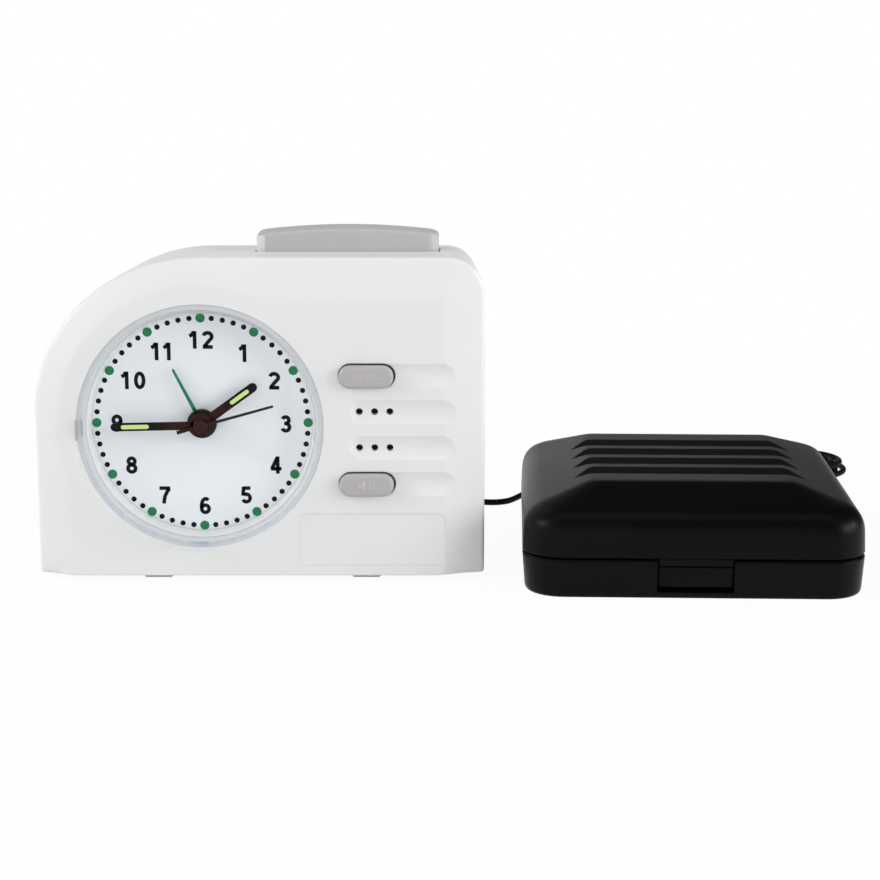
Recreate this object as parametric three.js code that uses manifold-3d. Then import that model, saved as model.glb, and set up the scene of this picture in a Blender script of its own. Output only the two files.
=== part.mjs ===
// A bedside alarm clock for people who sleep through sound: a white analogue clock, and a black vibrator box
// that lies under the pillow and is plugged into the clock by a thin cord.
// Millimetres, +Z up. X runs to the viewer's right and Y away from the viewer, who faces the dial.

import * as THREE from 'three';
import { mergeVertices } from 'three/addons/utils/BufferGeometryUtils.js';
import { ConvexGeometry } from 'three/addons/geometries/ConvexGeometry.js';
import Module from 'manifold-3d';

const wasm = await Module();
wasm.setup();

// Fits
const seat = 0.3; // gap between pieces that rest on each other
const slide = 0.35; // gap round a piece that slides in a slot
const turn = 0.25; // gap round a shaft or pipe that turns or is pressed in

// Clock case
const caseWidth = 130;
const caseTop = 94.5; // the top edge's height over the table
const caseDepth = 51;
const caseWall = 2.2;
const frontWall = 3.4;
const draft = 0.042; // how much the sides and the top draw in for each millimetre to the rear
const seamDepth = 40; // from the panel to the joint of the two case halves
const shoulderWidth = 48;
const shoulderHeight = 45.5;
const cornerRadius = 11;
const toeRadius = 1.5;
const rimFall = 3; // how far the rim falls back from the panel to the outer edge
const rimLeft = 10;
const rimRight = 11.6;
const rimTop = 11.2;
const panelMargin = 6.1; // the flat panel's border round the crystal
const footHeight = 1.8;
const footWidth = 8.4;
const footLength = 6.4;
const footSpread = 61; // between the centres of a left and a right foot
const footInset = 4; // from the panel or the rear wall to a foot

// Dial and crystal
const dialFromLeft = 48;
const dialHeight = 45.8;
const crystalRadius = 35.2;
const crystalProud = 8;
const crystalBevel = 1.9;
const crystalThickness = 1.8;
const crystalFlange = 2.2;
const flangeThickness = 1.5;
const spacerThickness = 1.3;
const lipReach = 3.4; // of the spacer's sloped lip, forward inside the crystal
const lipSlope = 1.05;
const lipEdge = 0.2;
const dialThickness = 1;

// Hands, in clock degrees and lengths from the axis
const handThickness = 0.5;
const handStep = 1.35; // from one hand's level to the next
const hubRadius = 3.5;
const hourHand = { angle: 54, length: 19.8, width: 2.65, windowFrom: 10.5, windowTo: 17.1, windowWidth: 1.2 };
const minuteHand = { angle: 268.8, length: 26.1, width: 2.4, windowFrom: 15, windowTo: 23.1, windowWidth: 1.25 };
const alarmHand = { angle: 333.1, length: 18, width: 1.2, tipWidth: 0.6 };
const secondHand = { angle: 74.4, length: 21.8, tail: 7.1, width: 1 };
const windowGap = 0.12;

// Movement, with its pipes from the innermost outwards
const movementSide = 56;
const plateThickness = 2;
const movementDepth = 13.7;
const movementWall = 1.6;
const arborRadius = 0.5;
const pipeWall = 0.5;
const pipeSides = 16;
const bushRadius = 3.5;
const wheelThickness = 0.8;
const stemRadius = 1.2;
const motionModule = 0.6;
const cannonTeeth = 10;
const motionWheelTeeth = 30;
const motionPinionTeeth = 8;
const hourWheelTeeth = 32;
const alarmModule = 0.65;
const alarmWheelTeeth = 30;
const alarmPinionTeeth = 10;
const stepMotorDepth = 4.7;
const stepMotorSide = 30;
const coilLength = 18;
const coilRadius = 2;
const knobRadius = 6.5;
const knobThickness = 4.6;
const knobFlutes = 14;

// Front controls
const buttonWidth = 15.8;
const buttonHeight = 6.5;
const buttonProud = 2.2;
const buttonTravel = 1.2;
const buttonFlange = 1;
const buttonFromRight = 34; // from the case's right edge to the buttons' centre line
const buttonStem = 3.7;
const grooveCount = 4;
const groovePitch = 10.57;
const lowestGroove = 29.1;
const grooveHeight = 7;
const grooveDepth = 0.9;
const grooveFrom = 26; // from the case's middle to the grooves' left ends
const grooveTo = 58.6;
const holeRadius = 1;
const holePitch = 4.4;
const holesInRow = 3;
const labelWidth = 42.4;
const labelHeight = 15.3;
const labelBottom = 4.9;
const labelDepth = 0.35;
const labelRadius = 2;
const speakerRadius = 10.3;
const speakerDepth = 6;
const boardThickness = 1.6;
const boardWidth = 31;
const boardHeight = 52;
const boardPostRadius = 2.2;
const switchSize = 5;

// Snooze bar on the top
const snoozeWidth = 53.8;
const snoozeDepth = 13.8;
const snoozeMiddle = 24.8; // from the case's middle
const snoozeFront = 24.2; // from the panel to the bar's front face
const snoozeTop = 100.4;
const snoozeCrown = 1.7;
const snoozeCorner = 1.6;
const snoozeFlange = 1.6;
const snoozeTravel = 2;

// Rear cover
const bayDepth = 15.6;
const cellRadius = 7.1;
const cellLength = 50.3;
const cellPitch = 15.2;
const cellNubRadius = 2.6;
const contactThickness = 0.5;
const bayBottom = 14.6;
const bayFromRight = 27; // from the case's right edge to the bay's middle
const bayWall = 1.6;
const doorThickness = 2.2;
const screwHeadRadius = 2.8;
const screwHeadDepth = 1.6;
const screwRadius = 1.3;
const screwLength = 12;
const bossRadius = 3.2;
const bossSink = 0.8; // how far a boss runs into the wall beside it
const clampPostRadius = 2.5;
const jackX = 35;
const jackHeight = 8.2;
const jackSide = 7;
const jackDepth = 14;
const plugTipRadius = 1.75;
const plugTipLength = 11;
const plugRadius = 4;
const plugLength = 14;
const reliefLength = 10;

// Vibrator box, in its own frame: X right, Y back from its front wall, Z up from the table
const boxX = 124.3; // the middle of its front wall, from the clock's middle and panel
const boxY = -19.3;
const boxTurn = -1.9; // degrees seen from above
const boxWidth = 98;
const boxDepth = 103.6;
const boxCorner = 12;
const boxWall = 2.2;
const baseHeight = 11.2;
const baseChamfer = 1.6;
const lidGap = 0.35;
const shoulderZ = 24; // where the lid's side wall ends
const shoulderInset = 0.9;
const roofZ = 30.1;
const roofSide = 20; // from the box's sides to the flat roof
const roofFront = 18.6;
const roofRear = 17.2;
const roofCorner = 2;
const ribGrooves = 4;
const ribPitch = 13.1;
const ribGrooveWidth = 9;
const ribGrooveDepth = 1.6; // at a groove's front edge, which its floor falls to
const firstRib = 28.2; // from the front wall to the first groove
const hingePinRadius = 1;
const knuckleRadius = 2.3;
const knuckleWidth = 7;
const knuckleInner = 13; // from the middle to the lid's knuckle
const hingeOffset = 2.6; // from the rear wall to the hinge pin
const latchWidth = 21;
const latchBottom = 3.1;
const latchTop = 9.4;
const latchThickness = 1.6;
const latchPinRadius = 0.7;
const latchBarrelRadius = 1.4;
const latchBarrelLength = 11.6;
const latchAxisY = 4.4;
const latchAxisZ = 8.6;
const latchLug = 2;
const recessDepth = 6.6;
const recessSill = 1.8;
const motorRadius = 8;
const motorLength = 28;
const motorAxisZ = 11.6;
const motorY = 54;
const motorX = -10;
const motorShaftRadius = 1;
const cradleWidth = 4;
const clampThickness = 1.5;
const clampWidth = 10;
const clampFoot = 7;
const weightRadius = 8;
const weightLength = 9;
const weightHub = 3;
const grommetX = 32;
const grommetZ = 6.8;
const grommetRadius = 3;
const grommetLength = 12;

// Cord
const cordRadius = 1;
const cordSides = 8;
const hankX = 161.8; // the hank's middle, in the clock's frame
const hankY = 147;
const hankRun = 38;
const hankInner = 6.2; // the innermost fold's radius
const hankStep = 2.9; // between neighbouring loops at the folds
const hankLoops = 3.625; // in each of two layers
const hankLayer = 2.7; // from one layer to the next
const hankWaist = 0.11; // the share by which the loops draw in at the tie
const hankStepsPerLoop = 24;
const hankSides = 6;
const tieWidth = 6;
const tieThickness = 0.8;
const tieGap = 0.35;

// Finishes
function finish(color, roughness, metalness = 0) {
  return new THREE.MeshStandardMaterial({ color, roughness, metalness });
}
const whitePlastic = finish(0xe6e6e6, 0.45);
const greyPlastic = finish(0xb4b1b2, 0.5);
const clearPlastic = finish(0xdfe6ea, 0.08);
const dialPaper = finish(0xdfe4ee, 0.6);
const handMetal = finish(0x231a18, 0.4, 0.3);
const lumePaint = finish(0xc3e18c, 0.7);
const greenPaint = finish(0x0f7d55, 0.5);
const gearPlastic = finish(0xd9d2bd, 0.5);
const boardGreen = finish(0x2f6b3f, 0.55);
const steel = finish(0xb9bcc0, 0.3, 0.9);
const copper = finish(0xb06a3a, 0.35, 0.8);
const brass = finish(0xb8a05a, 0.3, 0.9);
const blackPlastic = finish(0x19191b, 0.55);
const blackRubber = finish(0x121213, 0.7);
const cellSleeve = finish(0x4a4d52, 0.4, 0.3);

// Solids
const mergeDistance = 1e-4;

function manifoldOf(vertProperties, triVerts) {
  return new wasm.Manifold(new wasm.Mesh({ numProp: 3, vertProperties, triVerts }));
}

// A closed geometry as a solid that can be joined and cut.
function solid(geometry) {
  geometry.deleteAttribute('normal');
  geometry.deleteAttribute('uv');
  const merged = mergeVertices(geometry, mergeDistance);
  const places = new Float32Array(merged.attributes.position.array);
  const corners = merged.index.array;
  const kept = [];
  for (let i = 0; i < corners.length; i += 3) {
    const [a, b, c] = corners.slice(i, i + 3);
    if (a !== b && b !== c && c !== a) kept.push(a, b, c);
  }
  const body = manifoldOf(places, new Uint32Array(kept));
  return body.volume() > 0 ? body : manifoldOf(places, new Uint32Array(kept.reverse()));
}

function join(...bodies) {
  return bodies.reduce((whole, body) => whole.add(body));
}

function cut(body, ...tools) {
  return tools.reduce((rest, tool) => rest.subtract(tool), body);
}

function moved(body, x, y, z) {
  return body.translate([x, y, z]);
}

function block(x0, x1, y0, y1, z0, z1) {
  const box = new THREE.BoxGeometry(x1 - x0, y1 - y0, z1 - z0);
  return solid(box.translate((x0 + x1) / 2, (y0 + y1) / 2, (z0 + z1) / 2));
}

// A round bar along Y, the axis of the hands, the buttons and the screws.
function rodY(x, z, radius, y0, y1, sides = 16) {
  const bar = new THREE.CylinderGeometry(radius, radius, y1 - y0, sides);
  return solid(bar.translate(x, (y0 + y1) / 2, z));
}

function rodX(y, z, radius, x0, x1, sides = 16) {
  const bar = new THREE.CylinderGeometry(radius, radius, x1 - x0, sides).rotateZ(Math.PI / 2);
  return solid(bar.translate((x0 + x1) / 2, y, z));
}

function rodZ(x, y, radius, z0, z1, sides = 16) {
  const bar = new THREE.CylinderGeometry(radius, radius, z1 - z0, sides).rotateX(Math.PI / 2);
  return solid(bar.translate(x, y, (z0 + z1) / 2));
}

// A flat outline in X and Z, thick along Y.
function plateY(shape, y0, y1, curveSegments = 3) {
  const plate = new THREE.ExtrudeGeometry(shape, { depth: y1 - y0, bevelEnabled: false, curveSegments });
  return solid(plate.rotateX(Math.PI / 2).translate(0, y1, 0));
}

// A body turned about the Y axis, from points of radius and depth that start and end on the axis or close.
function turnedY(profile, sides) {
  const points = profile.map(([radius, depth]) => new THREE.Vector2(radius, depth));
  return solid(new THREE.LatheGeometry(points, sides));
}

function ringY(inner, outer, y0, y1, sides) {
  const profile = [[inner, y0], [outer, y0], [outer, y1], [inner, y1], [inner, y0]];
  return turnedY(profile, sides);
}

function hull(...rings) {
  return solid(new ConvexGeometry(rings.flat()));
}

function pill(width, height, middleX = 0, middleZ = 0, radius = height / 2) {
  const shape = new THREE.Shape();
  const left = middleX - width / 2 + radius;
  const right = middleX + width / 2 - radius;
  const low = middleZ - height / 2 + radius;
  const high = middleZ + height / 2 - radius;
  shape.absarc(right, low, radius, -Math.PI / 2, 0);
  shape.absarc(right, high, radius, 0, Math.PI / 2);
  shape.absarc(left, high, radius, Math.PI / 2, Math.PI);
  shape.absarc(left, low, radius, Math.PI, 1.5 * Math.PI);
  return shape;
}

// Points of an ellipse's arc in X and Z, angles from +X towards +Z.
function arcPoints(x, z, wide, tall, from, to, steps) {
  const points = [];
  for (let i = 0; i <= steps; i += 1) {
    const angle = from + ((to - from) * i) / steps;
    points.push([x + wide * Math.cos(angle), z + tall * Math.sin(angle)]);
  }
  return points;
}

// Scene graph
const object = new THREE.Group();
const standing = new THREE.Group();
const clock = new THREE.Group();
const box = new THREE.Group();
const cord = new THREE.Group();
object.add(standing, cord);
standing.add(clock, box);
box.position.set(boxX, boxY, 0);
box.rotation.z = THREE.MathUtils.degToRad(boxTurn);

function addPiece(parent, name, body, material) {
  const made = body.getMesh();
  const geometry = new THREE.BufferGeometry();
  geometry.setAttribute('position', new THREE.BufferAttribute(made.vertProperties, made.numProp));
  geometry.setIndex(new THREE.BufferAttribute(made.triVerts, 1));
  geometry.computeVertexNormals();
  const piece = new THREE.Mesh(geometry, material);
  piece.name = name;
  parent.add(piece);
  return piece;
}

// Case outline: a flat foot, a rounded right corner and one broad elliptical shoulder over the dial
const quarter = Math.PI / 2;
const caseLeft = -caseWidth / 2;
const caseRight = caseWidth / 2;
const dialX = caseLeft + dialFromLeft;
const panelRadius = crystalRadius + panelMargin;

function caseRing(y, sideInset, bottomInset = 0) {
  const toe = Math.max(toeRadius - sideInset, toeRadius / 6);
  const left = caseLeft + sideInset;
  const right = caseRight - sideInset;
  const low = footHeight + bottomInset;
  const outline = [
    ...arcPoints(right - toe, low + toe, toe, toe, -quarter, 0, 3),
    ...arcPoints(
      caseRight - cornerRadius, caseTop - cornerRadius,
      cornerRadius - sideInset, cornerRadius - sideInset, 0, quarter, 8,
    ),
    ...arcPoints(
      caseLeft + shoulderWidth, caseTop - shoulderHeight,
      shoulderWidth - sideInset, shoulderHeight - sideInset, quarter, 2 * quarter, 16,
    ),
    ...arcPoints(left + toe, low + toe, toe, toe, 2 * quarter, 3 * quarter, 3),
  ];
  return outline.map(([x, z]) => new THREE.Vector3(x, y, z));
}

// A drafted length of the case, drawn in by a wall where that is given.
function caseLength(y0, y1, wall = 0) {
  const insets = [y0, y1].map((y) => wall + Math.max(y - rimFall, 0) * draft);
  return hull(caseRing(y0, insets[0], wall), caseRing(y1, insets[1], wall));
}

function frontRing(points) {
  return points.map(([x, z]) => new THREE.Vector3(x, 0, z));
}

// The rim slopes from the outer edge up to a flat panel: a disc round the crystal, a strip as wide as the panel
// below the hands' axis, and a field for the buttons beside it.
const panelDisc = frontRing(arcPoints(dialX, dialHeight, panelRadius, panelRadius, 0, 4 * quarter, 36));
function panelBlock(left, top) {
  const right = caseRight - rimRight;
  return frontRing([[left, footHeight], [right, footHeight], [right, top], [left, top]]);
}
const rimRing = caseRing(rimFall, 0);
const frontNose = join(
  hull(rimRing, panelDisc),
  hull(rimRing, panelBlock(caseLeft + rimLeft, dialHeight)),
  hull(rimRing, panelBlock(dialX, caseTop - rimTop)),
);

// Depths behind the panel, from the crystal back to the movement
const flangeFront = frontWall + seat;
const flangeBack = flangeFront + flangeThickness;
const spacerFront = flangeBack + seat;
const dialFront = spacerFront + spacerThickness + seat;
const dialBack = dialFront + dialThickness;
const plateFront = dialBack + seat;
const plateBack = plateFront + plateThickness;

// Places of the front controls
const buttonX = caseRight - buttonFromRight;
const grooveZ = (row) => lowestGroove + row * groovePitch;
const buttonRows = { lower_button: 0, upper_button: grooveCount - 1 };
const holeRows = [1, 2];
const speakerZ = (grooveZ(1) + grooveZ(2)) / 2;
const boardFront = frontWall + seat + buttonFlange + buttonStem + buttonTravel + seat + switchSize / 2;
const boardX = buttonX + boardWidth / 2 - buttonWidth / 2 - buttonFlange;
const boardPosts = [-1, 1].flatMap((side) => [-1, 1].map((end) => [
  boardX + side * (boardWidth / 2 - boardPostRadius),
  speakerZ + end * (boardHeight / 2 - boardPostRadius),
]));

// Places of the snooze bar: its flange hangs under the top wall
const snoozeBack = snoozeFront + snoozeDepth;
const topUnder = caseTop - caseWall - (snoozeBack - rimFall) * draft;
const snoozeFlangeTop = topUnder - seat - buttonFlange;
const snoozeBoardZ = snoozeFlangeTop - snoozeFlange - snoozeTravel - seat - switchSize / 2;
const snoozePostX = [-1, 1].map((side) => snoozeMiddle + side * (snoozeWidth / 2 + boardPostRadius + 3));
const snoozeMiddleY = snoozeFront + snoozeDepth / 2;

// Places of the rear cover's screws, on bosses inside the case's four corners
const rearInset = caseWall + (caseDepth - rimFall) * draft;
const bossInset = rearInset + bossRadius - bossSink;
const bossHeight = footHeight + caseWall + bossRadius - bossSink;
const screwPlaces = [
  [caseLeft + bossInset, bossHeight],
  [caseRight - bossInset, bossHeight],
  [caseRight - bossInset, caseTop - cornerRadius - 2 * bossRadius - boardThickness],
  [
    caseLeft + shoulderWidth - (shoulderWidth - bossInset - bossSink) * Math.cos(0.48),
    caseTop - shoulderHeight + (shoulderHeight - bossInset - bossSink) * Math.sin(0.48),
  ],
];

// A scoop as a fingertip would leave it: a wide shallow trough with round ends.
function scoop(x0, x1, z, height, depth) {
  const radius = ((height / 2) ** 2 + depth ** 2) / (2 * depth);
  const segments = 24;
  const end = () => new THREE.SphereGeometry(radius, segments, segments / 2);
  const y = depth - radius;
  return join(
    rodX(y, z, radius, x0 + height / 2, x1 - height / 2, segments),
    solid(end().translate(x0 + height / 2, y, z)),
    solid(end().translate(x1 - height / 2, y, z)),
  );
}

// A left and a right foot, moulded on the underside.
function feet(y0) {
  return [-1, 1].map((side) => {
    const x = (side * footSpread) / 2;
    return block(x - footWidth / 2, x + footWidth / 2, y0, y0 + footLength, 0, footHeight + caseWall / 2);
  });
}

function makeFrontCase() {
  const cavity = caseLength(frontWall, seamDepth + 1, caseWall);
  const posts = boardPosts.map(([x, z]) => rodY(x, z, boardPostRadius, frontWall - 1, boardFront - seat, 8));
  const bosses = screwPlaces.map(([x, z]) => rodY(x, z, bossRadius, frontWall - 1, seamDepth, 10));
  const hangers = snoozePostX.map((x) => rodZ(
    x, snoozeMiddleY, boardPostRadius, snoozeBoardZ + seat, topUnder + caseWall / 2, 10,
  ));
  const shell = cut(join(caseLength(rimFall, seamDepth), frontNose), cavity);
  const body = join(shell, ...posts, ...bosses, ...hangers, ...feet(footInset));
  const cuts = [rodY(dialX, dialHeight, crystalRadius + seat, -1, frontWall + 1, 48)];
  for (let row = 0; row < grooveCount; row += 1) {
    cuts.push(scoop(grooveFrom, grooveTo, grooveZ(row), grooveHeight, grooveDepth));
  }
  for (const row of Object.values(buttonRows)) {
    const slot = pill(buttonWidth + 2 * slide, buttonHeight + 2 * slide, buttonX, grooveZ(row));
    cuts.push(plateY(slot, -1, frontWall + 1, 4));
  }
  for (const row of holeRows) {
    for (let i = 0; i < holesInRow; i += 1) {
      const x = buttonX + (i - 0.5) * holePitch;
      cuts.push(rodY(x, grooveZ(row), holeRadius, -1, frontWall + 1, 10));
    }
  }
  const label = pill(
    labelWidth, labelHeight, caseRight - rimRight - labelWidth / 2, labelBottom + labelHeight / 2, labelRadius,
  );
  cuts.push(plateY(label, -1, labelDepth));
  cuts.push(block(
    snoozeMiddle - snoozeWidth / 2 - slide, snoozeMiddle + snoozeWidth / 2 + slide,
    snoozeFront - slide, snoozeBack + slide, topUnder - 1, caseTop + 1,
  ));
  const pilot = screwRadius + turn;
  for (const [x, z] of screwPlaces) {
    cuts.push(rodY(x, z, pilot, seamDepth - screwLength, seamDepth + 1, 8));
  }
  return cut(body, ...cuts);
}

// Battery bay, open to the rear behind its door
const bayHalf = cellPitch / 2 + cellRadius + seat;
const bayX = caseRight - bayFromRight;
const bayFront = caseDepth - doorThickness - bayDepth;
const cellBottom = bayBottom + seat + contactThickness + seat;
const cellTop = cellBottom + cellLength;
const bayTop = cellTop + seat + contactThickness + seat;
const stemEnd = caseDepth + seat + knobThickness - 1.4;
const knobFront = caseDepth + seat;

// Movement axes, from the hands' axis: the time stem beside it and the alarm stem below it
const motionDistance = (motionModule * (cannonTeeth + motionWheelTeeth)) / 2;
const hourModule = (2 * motionDistance) / (motionPinionTeeth + hourWheelTeeth);
const alarmDistance = (alarmModule * (alarmWheelTeeth + alarmPinionTeeth)) / 2;
const timeStem = [dialX + motionDistance, dialHeight];
const alarmStem = [dialX, dialHeight - alarmDistance];

function makeRearCase() {
  const y0 = seamDepth + seat;
  const shell = cut(
    caseLength(y0, caseDepth),
    caseLength(y0 - 1, caseDepth - caseWall, caseWall),
  );
  const bay = block(
    bayX - bayHalf - bayWall, bayX + bayHalf + bayWall,
    bayFront - bayWall, caseDepth - caseWall / 2,
    bayBottom - bayWall, bayTop + bayWall,
  );
  const clampReach = movementDepth + plateBack + seat + seat;
  const clamps = [[-1, 1], [1, -1]].map(([x, z]) => rodY(
    dialX + x * (movementSide / 2 - 2 * clampPostRadius),
    dialHeight + z * (movementSide / 2 - 2 * clampPostRadius),
    clampPostRadius, clampReach, caseDepth - caseWall / 2, 10,
  ));
  const pads = screwPlaces.map(([x, z]) => rodY(x, z, bossRadius, y0, caseDepth - caseWall / 2, 12));
  const cuts = [
    block(bayX - bayHalf, bayX + bayHalf, bayFront, caseDepth + 1, bayBottom, bayTop),
    rodY(jackX, jackHeight, plugTipRadius + 2 * seat + 1, caseDepth - caseWall - 1, caseDepth + 1, 16),
    ...[timeStem, alarmStem].map(([x, z]) => rodY(x, z, stemRadius + seat, caseDepth - caseWall - 1, caseDepth + 1)),
  ];
  for (const [x, z] of screwPlaces) {
    cuts.push(rodY(x, z, screwRadius + turn, y0 - 1, caseDepth + 1, 10));
    cuts.push(rodY(x, z, screwHeadRadius + seat, caseDepth - screwHeadDepth - seat, caseDepth + 1, 16));
  }
  return cut(join(shell, bay, ...clamps, ...pads, ...feet(caseDepth - footInset - footLength)), ...cuts);
}

addPiece(clock, 'front_case', makeFrontCase(), whitePlastic);
addPiece(clock, 'rear_case', makeRearCase(), whitePlastic);

// Screws of the rear cover
screwPlaces.forEach(([x, z], i) => {
  const headFront = caseDepth - screwHeadDepth;
  const head = rodY(x, z, screwHeadRadius, headFront, caseDepth - seat, 16);
  const shank = rodY(x, z, screwRadius, seamDepth - screwLength + seat, headFront, 10);
  const arm = screwHeadRadius * 0.6;
  const driveSlot = screwHeadRadius * 0.15;
  const slots = [
    block(x - arm, x + arm, caseDepth - screwHeadDepth / 2, caseDepth, z - driveSlot, z + driveSlot),
    block(x - driveSlot, x + driveSlot, caseDepth - screwHeadDepth / 2, caseDepth, z - arm, z + arm),
  ];
  addPiece(clock, `case_screw_${i + 1}`, cut(join(head, shank), ...slots), steel);
});

// Crystal, spacer and dial, on the hands' axis
const dialGroup = new THREE.Group();
dialGroup.position.set(dialX, 0, dialHeight);
clock.add(dialGroup);
const crystalInner = crystalRadius - crystalThickness;
const crystal = turnedY([
  [0, -crystalProud],
  [crystalRadius - crystalBevel, -crystalProud],
  [crystalRadius, crystalBevel - crystalProud],
  [crystalRadius, flangeFront],
  [crystalRadius + crystalFlange, flangeFront],
  [crystalRadius + crystalFlange, flangeBack],
  [crystalInner, flangeBack],
  [crystalInner, crystalThickness - crystalProud],
  [0, crystalThickness - crystalProud],
], 48);
addPiece(dialGroup, 'dial_crystal', crystal, clearPlastic);
const lipRadius = crystalInner - seat;
const spacerBack = spacerFront + spacerThickness;
const spacer = turnedY([
  [lipRadius, spacerFront - lipReach],
  [lipRadius, spacerFront],
  [crystalRadius + crystalFlange, spacerFront],
  [crystalRadius + crystalFlange, spacerBack],
  [lipRadius - lipSlope, spacerBack],
  [lipRadius - lipEdge, spacerFront - lipReach],
  [lipRadius, spacerFront - lipReach],
], 36);
addPiece(dialGroup, 'dial_spacer', spacer, whitePlastic);
const dialHole = bushRadius + turn;
addPiece(dialGroup, 'dial_plate', ringY(dialHole, crystalRadius + crystalFlange, dialFront, dialBack, 36), dialPaper);

// Pipes of the hands, one inside the other
const minutePipe = { inner: arborRadius + turn, outer: arborRadius + turn + pipeWall };
const hourPipe = { inner: minutePipe.outer + turn, outer: minutePipe.outer + turn + pipeWall };
const alarmPipe = { inner: hourPipe.outer + turn, outer: hourPipe.outer + turn + pipeWall };

// Levels of the hands, counted forward from the dial
const handFront = (level) => dialFront - level * handStep - handThickness;
const [alarmFront, hourFront, minuteFront, secondFront] = [1, 2, 3, 4].map(handFront);

// A hand that points to twelve, with a round hub bored for its pipe.
function handPlate(outline, front, bore, hub = hubRadius) {
  const blade = plateY(outline, front, front + handThickness);
  const disc = rodY(0, 0, hub, front, front + handThickness, 24);
  return cut(join(blade, disc), rodY(0, 0, bore, front - 1, front + handThickness + 1, pipeSides));
}

function windowShape(hand, gap) {
  const length = hand.windowTo - hand.windowFrom + 2 * gap;
  const width = hand.windowWidth + 2 * gap;
  return pill(width, length, 0, (hand.windowFrom + hand.windowTo) / 2, width / 2);
}

function bladeShape(hand) {
  return pill(hand.width, hand.length, 0, hand.length / 2, hand.width / 2);
}

function addBroadHand(name, hand, front, bore) {
  const window = plateY(windowShape(hand, windowGap), front - 1, front + handThickness + 1);
  const made = [
    addPiece(dialGroup, name, cut(handPlate(bladeShape(hand), front, bore), window), handMetal),
    addPiece(
      dialGroup, `${name}_lume`, plateY(windowShape(hand, 0), front, front + handThickness), lumePaint,
    ),
  ];
  made.forEach((piece) => {
    piece.rotation.y = THREE.MathUtils.degToRad(hand.angle);
  });
}

addBroadHand('hour_hand', hourHand, hourFront, hourPipe.outer + turn);
addBroadHand('minute_hand', minuteHand, minuteFront, minutePipe.outer + turn);

const alarmBlade = new THREE.Shape([
  new THREE.Vector2(-alarmHand.width / 2, 0),
  new THREE.Vector2(alarmHand.width / 2, 0),
  new THREE.Vector2(alarmHand.tipWidth / 2, alarmHand.length),
  new THREE.Vector2(-alarmHand.tipWidth / 2, alarmHand.length),
]);
const alarmPlate = handPlate(alarmBlade, alarmFront, alarmPipe.outer + turn, alarmPipe.outer + turn + 1);
addPiece(dialGroup, 'alarm_hand', alarmPlate, greenPaint).rotation.y = THREE.MathUtils.degToRad(alarmHand.angle);

const secondSpan = secondHand.length + secondHand.tail;
const secondBlade = pill(secondHand.width, secondSpan, 0, secondSpan / 2 - secondHand.tail, secondHand.width / 2);
const secondHub = minutePipe.outer + pipeWall;
const secondCap = rodY(0, 0, secondHub, secondFront - handThickness, secondFront, 20);
const secondPlate = join(
  secondCap,
  handPlate(secondBlade, secondFront, arborRadius + turn, secondHub),
);
addPiece(dialGroup, 'second_hand', secondPlate, handMetal).rotation.y = THREE.MathUtils.degToRad(secondHand.angle);

// Movement: a front plate with a bush, a rear cover, and wheels between them
const coverBack = plateBack + seat + movementDepth;
const coverInside = coverBack - movementWall;
const halfSide = movementSide / 2;
const movementPlate = cut(
  join(
    block(-halfSide, halfSide, plateFront, plateBack, -halfSide, halfSide),
    rodY(0, 0, bushRadius, dialFront - seat, plateBack, 24),
  ),
  rodY(0, 0, alarmPipe.outer + turn, dialFront - 1, plateBack + 1, pipeSides),
);
addPiece(dialGroup, 'movement_plate', movementPlate, gearPlastic);
const stemHoles = [timeStem, alarmStem].map(([x, z]) => rodY(
  x - dialX, z - dialHeight, stemRadius + turn, coverInside - 1, coverBack + 1, pipeSides,
));
const innerHalf = halfSide - movementWall;
const movementCover = cut(
  block(-halfSide, halfSide, plateBack + seat, coverBack, -halfSide, halfSide),
  block(-innerHalf, innerHalf, plateBack, coverInside, -innerHalf, innerHalf),
  ...stemHoles,
);
addPiece(dialGroup, 'movement_cover', movementCover, gearPlastic);

// A toothed wheel with straight-sided teeth, the first tooth centred at the given angle from +X towards +Z.
function wheel(teeth, module, first, y0, y1) {
  const pitchRadius = (teeth * module) / 2;
  const tip = pitchRadius + 0.8 * module;
  const root = pitchRadius - 1.15 * module;
  const step = (2 * Math.PI) / teeth;
  const points = [];
  for (let i = 0; i < teeth; i += 1) {
    const middle = first + i * step;
    for (const [radius, share] of [[root, -0.28], [tip, -0.1], [tip, 0.1], [root, 0.28]]) {
      const angle = middle + share * step;
      points.push(new THREE.Vector2(radius * Math.cos(angle), radius * Math.sin(angle)));
    }
  }
  return plateY(new THREE.Shape(points), y0, y1);
}

// Levels of the wheels behind the plate
const alarmLevel = plateBack + seat;
const hourLevel = alarmLevel + wheelThickness + 2 * seat;
const motionLevel = hourLevel + wheelThickness + 3 * seat;
const motorLevel = coverInside - seat - stepMotorDepth;
const cannonBack = motorLevel - seat;

// A pipe from its hand back to its wheel.
function pipe({ inner, outer }, front, back) {
  return ringY(inner, outer, front, back, pipeSides);
}

function bored(body, inner) {
  return cut(body, rodY(0, 0, inner, 0, coverBack, pipeSides));
}

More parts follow.
